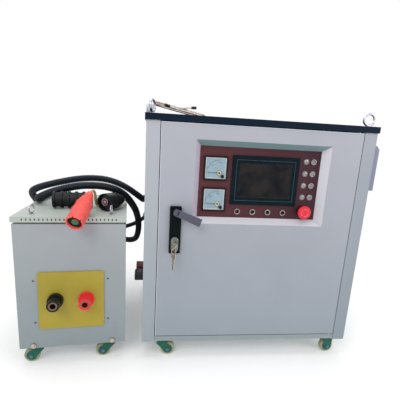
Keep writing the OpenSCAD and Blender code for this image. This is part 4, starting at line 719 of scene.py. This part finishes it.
def make_cords():
    # Ribbed conduit, draped twice over the output unit
    line = catmull([cab(*p) for p in CONDUIT_ROUTE] + [unit(*p) for p in CONDUIT_END],
                   ROUTE_STEPS)
    line = spaced(line, RIB_STEP / 4 * MM)
    high = CONDUIT_D / 2 * MM
    low = high - RIB_DEEP * MM
    cycle = [high, high, low, low]
    radii = [cycle[i % 4] for i in range(len(line))]
    conduit = sweep("conduit_ribbed", line, radii, "conduit", "conduit", 14)
    sharpen(conduit, 60)
    stand_in("conduit", conduit, line, CONDUIT_D, line[::4] + [line[-1]], far_end="object",
             stiffness="stiff", lay="loose")
    # Smooth link cable behind the unit
    line = [cab(*p) for p in LINK_ROUTE] + [unit(*p) for p in LINK_END]
    line = spaced(catmull(line, ROUTE_STEPS), 4 * MM)
    smooth_cord("link_cable", "link_cable_jacket", line, LINK_D, "link", "conduit", 20,
                far_end="object", stiffness="stiff", lay="loose")
    # Tan lead between the two plugs on the lid
    line = spaced(catmull([unit(*p) for p in JUMPER_ROUTE], ROUTE_STEPS), 2 * MM)
    smooth_cord("jumper_lead", "jumper_jacket", line, JUMPER_D, "tan", "tan", 16,
                far_end="plug", stiffness="medium", lay="loose",
                with_pieces=[NODES["black_plugs"]])
    # Hank of braided sensor lead on the cabinet's slab
    smooth_cord("sensor_leads", "sensor_lead_hank", hank_line(), SENSOR_D, "braid", "braid", 12,
                far_end="connector", stiffness="stiff", lay="coiled",
                with_pieces=[NODES["lead_plugs"]])


# Finishes of the solids that show as they are

FINISH_NODES = {
    "tray": "base_tray", "shell": "left_side_panel right_side_panel", "rear": "rear_panel",
    "slab": "top_slab", "hood": "side_hood", "chrome": "lifting_eyes", "zinc": "hinge_pins",
    "alloy": "heatsink", "module": "power_modules", "green": "caster_mounts", "door": "door",
    "black": "fan_frame fan_rotor cable_glands meter_cases stop_button_body",
    "panel": "control_plate", "dial_ink": "ammeter_needle voltmeter_needle",
    "bezel": "screen_bezel",
    "silver": "button_rings indicator_lamps button_1 button_2 button_3 button_4",
    "red_button": "stop_button_head", "socket_ring": "sensor_sockets", "lock": "lock_plate",
    "lever": "lock_hub lock_lever", "key": "lock_key", "unit": "unit_shell", "lid": "unit_lid",
    "yellow": "terminal_plate", "red_term": "red_terminal", "black_term": "black_terminal",
    "copper": "transformer", "coral": "red_plug", "plug_black": "black_plugs",
    "lead_plugs": "lead_plugs", "pane": "glass_panes", "gloss_black": "side_sockets"}


def finish_nodes():
    finishes = {node: key for key, nodes in FINISH_NODES.items() for node in nodes.split()}
    for name, obj in NODES.items():
        if obj.hide_render:
            continue
        finish = finishes.get(name, "tread" if "wheel" in name else "green")
        if not obj.material_slots:
            obj.data.materials.append(MATS[finish])
        for slot in obj.material_slots:
            slot.material = MATS[finish]


# Panel meters: side of a frame, step to the next, left and lower edge of the upper one

METER = 79
METER_STEP = 103
METER_LEFT = 187
METER_LOW = 643
PIVOT = (0.66 * METER, 0.31 * METER)
ZERO_SCREW = (0.79 * METER, 23.9, 0.17 * METER)
DIAL_Y = 28.55
DIAL_RIM = 5.4
# The scale: degrees, radii of arc and numbers, marks with outer radius and width
DIAL_SWEEP = 90
ARC_R = 41.0
LABEL_R = 34.0
TICKS = 20
LONG_TICK = (46.5, 1.3)
SHORT_TICK = (44.0, 0.6)
INK_LIFT = 0.12
INK_T = 0.1


def meter_point(i, x, y, z):
    return cab(METER_LEFT + x, y, METER_LOW - i * METER_STEP + z)


def dial_point(i, x, z, lift):
    """A point on a dial, mm from its frame's lower left corner, mm in front of the face."""
    return meter_point(i, x, DIAL_Y - lift, z)


def dial_rect(i, lift):
    low, far = DIAL_RIM, METER - DIAL_RIM
    return [dial_point(i, *p, lift) for p in rect(low, far, low, far)]


def join(name, objs, slot):
    """Several objects that share one finish, as one."""
    mesh = bpy.data.meshes.new(name)
    bm = bmesh.new()
    for o in objs:
        bm.from_mesh(o.data)
    bm.to_mesh(mesh)
    bm.free()
    mesh.materials.append(objs[0].data.materials[0])
    for o in objs:
        bpy.data.objects.remove(o)
    whole = link(bpy.data.objects.new(name, mesh))
    return whole


def inked(name, i, corners):
    """A flat mark on a dial."""
    return slab_from(name, [dial_point(i, p.x, p.y, INK_LIFT) for p in corners], INK_T,
                     "dial_ink", "needle")


def direction(degrees):
    a = math.radians(degrees)
    return Vector((math.cos(a), math.sin(a)))


def tick(i, angle, r0, r1, width):
    """One mark of the scale: angle in degrees up from the needle's rest."""
    out = direction(180 - angle)
    side = Vector((-out.y, out.x)) * width / 2
    pivot = Vector(PIVOT)
    return inked("tick", i, [pivot + out * r0 - side, pivot + out * r1 - side,
                             pivot + out * r1 + side, pivot + out * r0 + side])


def arc_line(i, radius, width, steps=36):
    pivot = Vector(PIVOT)
    outer = []
    inner = []
    for k in range(steps + 1):
        out = direction(180 - DIAL_SWEEP * k / steps)
        outer.append(pivot + out * (radius + width / 2))
        inner.append(pivot + out * (radius - width / 2))
    return [inked("arc", i, [inner[k], inner[k + 1], outer[k + 1], outer[k]])
            for k in range(steps)]


def numeral(i, text, x, z, height):
    data = bpy.data.curves.new("numeral", "FONT")
    fill(data, body=text, size=height * MM, align_x="CENTER", align_y="CENTER",
         extrude=0.05 * MM)
    obj = link(bpy.data.objects.new("numeral", data))
    obj.matrix_world = Matrix.Translation(dial_point(i, x, z, INK_LIFT)) @ Matrix.Rotation(
        math.pi / 2, 4, "X")
    bpy.context.view_layer.update()
    mesh = bpy.data.meshes.new_from_object(obj.evaluated_get(
        bpy.context.evaluated_depsgraph_get()))
    mesh.transform(obj.matrix_world)
    mesh.materials.clear()
    mesh.materials.append(MATS["dial_ink"])
    bpy.data.objects.remove(obj)
    return link(bpy.data.objects.new("numeral", mesh))


def make_meter(i, labels):
    on("door", slab_from, numbered("dial_face", i), dial_rect(i, 0.0), 0.12, "dial",
       "grey_plastic")
    marks = arc_line(i, ARC_R, 0.7)
    for k in range(TICKS + 1):
        marks.append(tick(i, DIAL_SWEEP * k / TICKS, ARC_R, *(SHORT_TICK if k % 5 else LONG_TICK)))
    for k, text in enumerate(labels):
        spot = Vector(PIVOT) + direction(180 - DIAL_SWEEP * k / (len(labels) - 1)) * LABEL_R
        marks.append(numeral(i, text, spot.x, spot.y, 7.5))
    on("door", join, numbered("dial_scale", i), marks, "needle")
    mid = dial_point(i, *PIVOT, 0.05)
    on("door", annulus, numbered("pivot_ring", i), mid, FRONT, 7.4, 4.2, 0.9, "pivot_ring",
       "grey_plastic")
    on("door", annulus, numbered("pivot_rim", i), mid, FRONT, 9.2, 7.3, 0.7, "dial_ink", "needle")
    on("door", disc, numbered("zero_screw", i), meter_point(i, *ZERO_SCREW), FRONT, 5.8, 1.0,
       "gloss_black", "black", 0.6)
    on("door", frame_strip, numbered("meter_inner_rim", i), dial_rect(i, 3.5), 0.9, 0.5,
       "grey_plastic", "grey_plastic")
    on("door", frame_strip, numbered("dial_border", i), dial_rect(i, 0.4), 3.4, 0.3,
       "dial_border", "grey_plastic")


# Needle blades: mm from the pivot, inside the tip and in front of the needle, half width
BLADE_ROOT = 6.5
BLADE_TIP = 1.0
BLADE_LIFT = 0.25
BLADE_HALF = 1.1


def make_needles():
    """Painted blades on the needles."""
    for i, name in enumerate(("ammeter_needle", "voltmeter_needle")):
        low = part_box(name)[0]
        mid = meter_point(i, PIVOT[0], 0, PIVOT[1])
        x0, x1 = low[0] + BLADE_TIP * MM, mid.x - BLADE_ROOT * MM
        y = low[1] - BLADE_LIFT * MM
        half = BLADE_HALF * MM
        corners = [Vector((x, y, mid.z + up)) for x, up in (
            (x0, -half / 2), (x1, -half), (x1, half), (x0, half / 2))]
        on(name, slab_from, numbered("needle_blade", i), corners, 0.2, "dial_ink", "needle")


# Operator screen, buttons and sockets

SCREEN_MID = (281 + 114, 565 + 81.5)
SCREEN_FRONT = 24.5
# Name, width, height, mm behind the bezel's front, strip's width and depth, finish
SCREEN_STRIPS = (
    ("screen_line_1", 176.5, 110.5, 1.62, 1.2, 0.08, "gloss_black"),
    ("screen_line_2", 168, 102, 1.62, 0.7, 0.08, "gloss_black"),
    ("bezel_step_1", 215, 150, -0.35, 1.1, 0.5, "bezel"),
    ("bezel_step_2", 200, 135, -0.65, 1.1, 0.8, "bezel_edge"),
)


def screen_rect(w, h, y):
    x, z = SCREEN_MID
    return [cab(px, y, pz) for px, pz in rect(x - w / 2, x + w / 2, z - h / 2, z + h / 2)]


def make_screen():
    on("door", slab_from, "screen_display", screen_rect(177, 111, SCREEN_FRONT + 1.7), 0.1,
       "screen", "bezel")
    for name, w, h, back, wide, deep, mat in SCREEN_STRIPS:
        on("door", frame_strip, name, screen_rect(w, h, SCREEN_FRONT + back), wide, deep, mat,
           "bezel")


BUTTON_TOP = 198
BUTTON_STEP = 40
# Column's name, x, ring's name, lift and (radii, thickness), swirl's radius and lift
COLUMNS = (
    ("lamp", 359.5, "_lens_ring", 2.45, (8.3, 7.4, 0.5), 3.0, 4.15),
    ("button", 386.3, "_cap_ring", 3.4, (5.6, 4.7, 0.35), 3.6, 3.42),
)


def make_buttons():
    for kind, x, ring_name, ring_lift, ring, radius, lift in COLUMNS:
        for row in range(4):
            z = BUTTON_TOP - row * BUTTON_STEP
            name = numbered(kind, row)
            body = name if kind == "button" else "door"
            on(body, annulus, name + ring_name, panel_point(x, z, ring_lift), FRONT, *ring,
               "black", "black")
            on(body, swirl, name + "_swirl", panel_point(x, z, lift), radius)


def swirl(name, start, radius, steps=26):
    """A thin raised spiral mark."""
    points = []
    for k in range(steps + 1):
        a = math.radians(60 + 420 * k / steps)
        r = radius * (0.25 + 0.75 * k / steps)
        points.append(start + Vector((math.cos(a) * r * MM, -0.05 * MM, math.sin(a) * r * MM)))
    return sweep(name, points, [0.34 * MM] * len(points), "black", "black", 6)


# The stop head: its middle, its front, and the arrows' radius and length in degrees
STOP_AT = (363, 29)
STOP_LIFT = 30
ARROW_R = 12.2
ARROW_SWEEP = 80
ARROW_POINTS = 15


def make_stop_button():
    front = panel_point(*STOP_AT, STOP_LIFT)
    for k in range(3):
        start = math.radians(20 + 120 * k)
        points = []
        for j in range(ARROW_POINTS):
            a = start + math.radians(ARROW_SWEEP) * j / (ARROW_POINTS - 1)
            points.append(front + Vector((math.cos(a), 0, math.sin(a))) * ARROW_R * MM
                          + FRONT * 0.02 * MM)
        on("stop_button", sweep, numbered("stop_arrow", k), points, [0.55 * MM] * ARROW_POINTS,
           "arrow", "red_button", 6)
        way = (points[-1] - points[-2]).normalized()
        head = lathe(numbered("stop_arrow_head", k), points[-1], way,
                     [(ON_AXIS, 0), (1.7, 0), (0.9, 1.6), (ON_AXIS, 3.4)], "arrow", "red_button",
                     12)
        flatten(head, front.y, 0.35)
        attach(head, "stop_button")
    on("stop_button", annulus, "stop_face_ring", front, FRONT, 17.0, 15.9, 0.3, "red_button",
       "red_button")
    on("stop_button", disc, "stop_face_hub", front, FRONT, 5.5, 0.4, "red_button", "red_button",
       0.5)


def flatten(obj, y, share):
    for v in obj.data.vertices:
        v.co.y = y + (v.co.y - y) * share


SOCKET_X = [136 + 53.2 * k for k in range(4)]
SOCKET_Z = 21.5
# Name, mm in front of the panel, outer and inner radius, thickness, finish, slot
SOCKET_RINGS = (("sensor_core", 0.6, 6.3, 2.3, 1.2, "black", "black"),
                ("sensor_nut", 3.9, 9.4, 7.3, 0.7, "socket_ring", "chrome"))


def make_sockets():
    for k, x in enumerate(SOCKET_X):
        for name, lift, *ring in SOCKET_RINGS:
            on("door", annulus, numbered(name, k), panel_point(x, SOCKET_Z, lift), FRONT, *ring)


# Terminals and the small fasteners of the unit

TERMINAL_Z = 241
TERMINALS = {"red": 44, "black": -51}
TERMINAL_MOUTH = -46
# Ribs on a terminal: outer radius, mm in front of its collar
TERMINAL_RIBS = ((21.2, 14.2), (20.2, 20), (20.2, 26))
COLLAR_Y = -4


def make_terminals():
    for color, x in TERMINALS.items():
        mouth = unit(x, TERMINAL_MOUTH, TERMINAL_Z)
        finish = color + "_term"
        on("frame", annulus, color + "_terminal_ring", mouth, UNIT_FRONT, 13.4, 10.05, 1.2,
           "bronze", "chrome")
        on("frame", lathe, color + "_terminal_sleeve", mouth, UNIT_FRONT,
           [(9.95, 1.0), (9.95, -33.5), (9.6, -33.5), (9.6, 1.0)], "bright_copper", "copper")
        for k, (r, d) in enumerate(TERMINAL_RIBS):
            on("frame", annulus, numbered(color + "_terminal_rib", k),
               unit(x, COLLAR_Y - d, TERMINAL_Z), UNIT_FRONT, r, 19.3, 2.2, finish, finish)


# Edges of the door's face, and the painted highlight along its folds
DOOR_LEFT = 45.5
DOOR_RIGHT = 704.5
DOOR_LOW = 93.5
DOOR_TOP = 817.5
FOLD_HIGHLIGHT = 1.8
HIGHLIGHT_Y = -0.35


def make_door_highlights():
    """Painted highlight on the door's folded left and top edges, where they catch the light."""
    b = FOLD_HIGHLIGHT
    bars = {"left": (DOOR_LEFT, DOOR_LEFT + b, DOOR_LOW, DOOR_TOP - b),
            "top": (DOOR_LEFT, DOOR_RIGHT, DOOR_TOP - b, DOOR_TOP)}
    for name, bar in bars.items():
        corners = [cab(x, HIGHLIGHT_Y, z) for x, z in rect(*bar)]
        on("door", slab_from, "door_edge_" + name, corners, 0.3, "edge", "shell")


# Screws in the unit's front, and its caster bolts with how far their washers stand out
SCREW_X = (-116.4, 112.0)
SCREW_Z = (163, 308)
BOLT_OUT = 4.0
BOLT_X = 125
BOLT_Z = 79


def make_unit_screws():
    for x in SCREW_X:
        for z in SCREW_Z:
            on("frame", disc, "front_screw_%d_%d" % (x > 0, z), unit(x, -1.45, z), UNIT_FRONT,
               2.8, 0.5, "screw", "bare_steel", 0.3)
            on("frame", slot_cross, "front_screw_cross_%d_%d" % (x > 0, z), unit(x, -2.3, z))
    for x, way in ((-BOLT_X, "left"), (BOLT_X, "right")):
        on("frame", lathe, "caster_bolt_" + way, unit(x, -BOLT_OUT, BOLT_Z), UNIT_FRONT,
           [(ON_AXIS, 0), (5.6, 0), (5.6, 2.2), (4.6, 3.4), (ON_AXIS, 3.9)], "cap_nut",
           "bare_steel", 6)
        on("frame", annulus, "caster_washer_" + way, unit(x, -BOLT_OUT + 0.4, BOLT_Z), UNIT_FRONT,
           8.3, 4.0, 0.8, "cap_nut", "bare_steel")


VENT_HALF = 150
VENT_Y = 0.4
VENT_LOW = 501.5
VENT_TOP = 511.5


def make_vent_shade():
    """Painted shade: a dark sheet behind the slots of the unit's lid, where shade falls."""
    corners = [unit(x, VENT_Y, z) for x, z in rect(-VENT_HALF, VENT_HALF, VENT_LOW, VENT_TOP)]
    on("frame", prism, "vent_lining", corners, -UNIT_FRONT * 0.4 * MM, "shade", "black")


# Half length, half width and depth of the cross in a screw's head
CROSS_L = 1.7
CROSS_W = 0.3
CROSS_DEEP = 0.3


def slot_cross(name, start):
    u, v = frame_of(UNIT_FRONT)
    bars = []
    for a, b in ((u, v), (v, u)):
        bar = [start + (a * s + b * t) * MM
               for s, t in rect(-CROSS_L, CROSS_L, -CROSS_W, CROSS_W)]
        bars.append(prism("bar", bar, -UNIT_FRONT * CROSS_DEEP * MM, "black", "black"))
    return join(name, bars, "black")


# Lock

LOCK_X = 100
OVAL_Y = -13.2
KEY_Z = 432
OVAL_R = 12
OVAL_HALF = 13.3


def make_lock():
    """Chromed oval round the key."""
    outer = []
    for end, first in ((1, 0), (-1, 180)):
        for k in range(19):
            a = math.radians(first + 10 * k)
            outer.append(cab(LOCK_X + OVAL_R * math.cos(a), OVAL_Y,
                             KEY_Z + end * OVAL_HALF + OVAL_R * math.sin(a)))
    on("door", slab_from, "key_oval", outer, 0.8, "escutcheon", "chrome")


# Casters: in whose frame a wheel stands, and where

AXLE_Z = 25
WHEELS = {
    "cab_wheel_fl": (cab, 92, 34), "cab_wheel_rl": (cab, 92, 566),
    "cab_wheel_fr": (cab, 704, 34), "cab_wheel_rr": (cab, 704, 566),
    "unit_wheel_fl": (unit, -141, 36), "unit_wheel_fr": (unit, 93, 36),
    "unit_wheel_rl": (unit, -117, 414), "unit_wheel_rr": (unit, 117, 414),
}
SIDES = ((-1, "front"), (1, "rear"))
# Name, mm from the wheel's middle, outer and inner radius, thickness, finish
WHEEL_RINGS = (("cover", 7.0, 16.8, 9.2, 1.0, "hub"), ("rim", 9.9, 20.6, 17.2, 0.5, "tread"))


def make_wheels():
    for body, (place, x, y) in WHEELS.items():
        axis = -UNIT_FRONT if place is unit else -FRONT
        for side, end in SIDES:
            for name, out, *ring in WHEEL_RINGS:
                on(body, annulus, "%s_%s_%s" % (body, name, end),
                   place(x, y, AXLE_Z) + axis * side * out * MM, axis * side, *ring, "tread")


# Stamped side plates of the forks: frame, middle, and how far back the axle lies
FORKS = {
    "cab_fork_front": (cab, 68, 34, 24), "cab_fork_rear": (cab, 68, 566, 24),
    "unit_fork_left": (unit, -117, 36, -24), "unit_fork_right": (unit, 117, 36, -24),
    "fixed_front": (cab, 704, 34, 0), "fixed_rear": (cab, 704, 566, 0),
    "fixed_left": (unit, -117, 414, 0), "fixed_right": (unit, 117, 414, 0),
}
FORK_SIDE = 14.0
FORK_TOP = 57
FORK_HALF = 17
FORK_SKIRT = 6
PLATE_T = 0.8
AXLE_CHEEK = 13
CHEEK_POINTS = 28


def hull(points):
    """Convex outline of flat points, anticlockwise."""
    points = sorted(points)
    rows = []
    for run in (points, points[::-1]):
        row = []
        for q in run:
            while len(row) > 1 and ((row[-1][0] - row[-2][0]) * (q[1] - row[-2][1])
                                    <= (row[-1][1] - row[-2][1]) * (q[0] - row[-2][0])):
                row.pop()
            row.append(q)
        rows += row[:-1]
    return rows


def make_fork_plates():
    for name, (place, x, y, trail) in FORKS.items():
        spots = list(rect(-FORK_HALF, FORK_HALF, FORK_TOP - FORK_SKIRT, FORK_TOP))
        for k in range(CHEEK_POINTS):
            a = 2 * math.pi * k / CHEEK_POINTS
            spots.append((trail + AXLE_CHEEK * math.cos(a), AXLE_Z + AXLE_CHEEK * math.sin(a)))
        way = UNIT_TURN if place is unit else Matrix.Identity(3)
        body = "frame" if name.startswith("fixed") else name
        for side, end in SIDES:
            face = [place(x + a, y + side * FORK_SIDE, b) for a, b in hull(spots)]
            on(body, prism, "%s_plate_%s" % (name, end), face,
               way @ Vector((0, side * PLATE_T * MM, 0)), "green", "caster_green")
            on(body, disc, "%s_cap_%s" % (name, end),
               place(x + trail, y + side * (FORK_SIDE + 2.4), AXLE_Z), way @ Vector((0, side, 0)),
               6.2, 0.8, "hub", "caster_green", 1.4)


# Plugs that lie on the lid: tail and mouth in the unit's frame, and the pieces in the mouth as
# maker, name, mm back from the mouth, sizes, finish and slot

PLUGS = (
    ((52, 60, 579), (22, -65, 511), (
        (annulus, "red_plug_insert", 10, 21.8, 10.2, 2.0, "plug_black", "plug_black"),
        (disc, "red_plug_core", 4.1, 9.7, 0.9, "plug_green", "plug_black", 0.5))),
    ((148, 172, 543.5), (95, 88, 547), (
        (annulus, "black_plug_insert", 12, 25.0, 10.2, 2.5, "gloss_black", "plug_black"),
        (disc, "black_plug_core", 4.1, 5.6, 0.9, "pink", "coral", 0.8),
        (annulus, "black_plug_core_ring", 6.0, 12.0, 10.1, 2.4, "chrome", "chrome"))),
)
BOOT_MOUTH = (38, 142, 545)
RED_R = 26
RED_RINGS = 6
# Shares of the way to the mouth: first ring, length with rings, where the plug is thickest
RING_FIRST = 0.5
RING_SPAN = 0.4
RED_FULL = 0.58


def make_plug_rings():
    """Moulded rings round the coral plug."""
    tail, mouth = (unit(*p) for p in PLUGS[0][:2])
    for k in range(RED_RINGS):
        share = RING_FIRST + RING_SPAN * k / (RED_RINGS - 1)
        radius = RED_R if share >= RED_FULL else RED_R - 1.3
        on("frame", annulus, numbered("red_plug_ring", k), tail.lerp(mouth, share),
           (mouth - tail).normalized(), radius + 0.9, radius - 0.5, 3.4, "coral", "coral", 0.9)


def make_plugs():
    make_plug_rings()
    for *ends, pieces in PLUGS:
        tail, mouth = (unit(*p) for p in ends)
        axis = (mouth - tail).normalized()
        for make, name, back, *sizes in pieces:
            on("frame", make, name, mouth - axis * back * MM, axis, *sizes)
    on("frame", disc, "boot_insert", unit(*BOOT_MOUTH), UNIT_TURN @ Vector((1, 0, 0)), 13.8,
       2.0, "plug_green", "plug_black", 1.0)


# Side sockets: height, and x and thickness of the rings on their collars
SIDE_SOCKET_Z = 310
SIDE_RINGS = ((1.0, 6.0), (10.0, 2.0), (15.0, 2.0), (20.0, 6.5))


def make_side_sockets():
    way = Vector((-1, 0, 0))
    for y, mat, slot in ((27, "black", "black"), (102, "dark_red", "sockets")):
        name = "side_socket_%d_" % y
        for k, (x, t) in enumerate(SIDE_RINGS):
            on("frame", annulus, numbered(name + "ring", k), cab(-x, y, SIDE_SOCKET_Z), way, 18.7,
               18.3, t, mat, slot)
        on("frame", annulus, name + "face", cab(-28, y, SIDE_SOCKET_Z), way, 17.6, 7.1, 0.5, mat,
           slot)


# Floor, background and light

FLOOR_SIZE = 40.0
FLOOR_TONE = 0.86
FLOOR_GLOW = 0.2
FLOOR_NEAR = 0.9
FLOOR_FAR = 2.2


def emission(tree, strength):
    """White light of its own, as a socket."""
    return add(tree, "ShaderNodeEmission", Color=(1, 1, 1, 1),
               Strength=strength).outputs["Emission"]


def make_stage():
    mesh = bpy.data.meshes.new("floor")
    s = FLOOR_SIZE
    mesh.from_pydata([(-s, -s, 0), (s, -s, 0), (s, s, 0), (-s, s, 0)], [], [(0, 1, 2, 3)])
    floor = link(bpy.data.objects.new("floor", mesh))
    mat, tree, shader = principled("floor", (FLOOR_TONE,) * 3, 0.9)
    out = next(n for n in tree.nodes if n.type == "OUTPUT_MATERIAL")
    both = add(tree, "ShaderNodeAddShader")
    wire(shader.outputs["BSDF"], both, 0)
    wire(emission(tree, FLOOR_GLOW), both, 1)
    reach = add(tree, "ShaderNodeVectorMath", operation="LENGTH")
    wire(coordinates(tree), reach, 0)
    melt = add(tree, "ShaderNodeMixShader")
    wire(share_of(tree, reach.outputs["Value"], FLOOR_NEAR, FLOOR_FAR,
                  interpolation_type="SMOOTHSTEP"), melt, 0)
    wire(both.outputs["Shader"], melt, 1)
    wire(emission(tree, 1.0), melt, 2)
    wire(melt.outputs["Shader"], out, "Surface")
    mesh.materials.append(mat)


# Strength of the white surroundings where they aren't seen or mirrored
ROOM_LIGHT = 0.55


def make_world():
    world = bpy.data.worlds.new("world")
    bpy.context.scene.world = world
    world.use_nodes = True
    tree = world.node_tree
    back = fill(tree.nodes["Background"], Color=(1, 1, 1, 1))
    path = add(tree, "ShaderNodeLightPath")
    most = add(tree, "ShaderNodeMath", operation="MAXIMUM")
    wire(path.outputs["Is Camera Ray"], most, 0)
    wire(path.outputs["Is Glossy Ray"], most, 1)
    level = add(tree, "ShaderNodeMapRange", To_Min=ROOM_LIGHT, To_Max=1.0)
    wire(most.outputs["Value"], level, "Value")
    wire(level.outputs["Result"], back, "Strength")


def area_light(name, at, target, size, power):
    data = bpy.data.lights.new(name, "AREA")
    fill(data, shape="RECTANGLE", size=size[0], size_y=size[1], energy=power)
    obj = link(bpy.data.objects.new(name, data))
    obj.location = at
    obj.rotation_euler = (Vector(target) - Vector(at)).to_track_quat("-Z", "Y").to_euler()


def make_lights():
    area_light("key", (-1.4, -2.6, 2.6), (0, 0, 0.45), (1.6, 1.6), 42)
    area_light("fill", (2.4, -2.0, 1.6), (0, 0, 0.4), (1.6, 1.6), 20)
    area_light("top", (0.0, -0.1, 3.0), (0, 0, 0.5), (2.2, 2.2), 34)
    area_light("back", (0.4, 3.0, 2.0), (0, 0, 0.4), (2.0, 1.6), 18)


def main():
    make_camera()
    make_materials()
    make_cords()
    finish_nodes()
    make_meter(0, ("0", "50", "100"))
    make_meter(1, ("0", "300", "600"))
    make_screen()
    make_buttons()
    make_stop_button()
    make_sockets()
    make_terminals()
    make_unit_screws()
    make_vent_shade()
    make_lock()
    make_wheels()
    make_fork_plates()
    make_plugs()
    make_door_highlights()
    make_needles()
    make_side_sockets()
    make_stage()
    make_world()
    make_lights()
    bpy.context.scene.view_settings.view_transform = "Standard"


main()
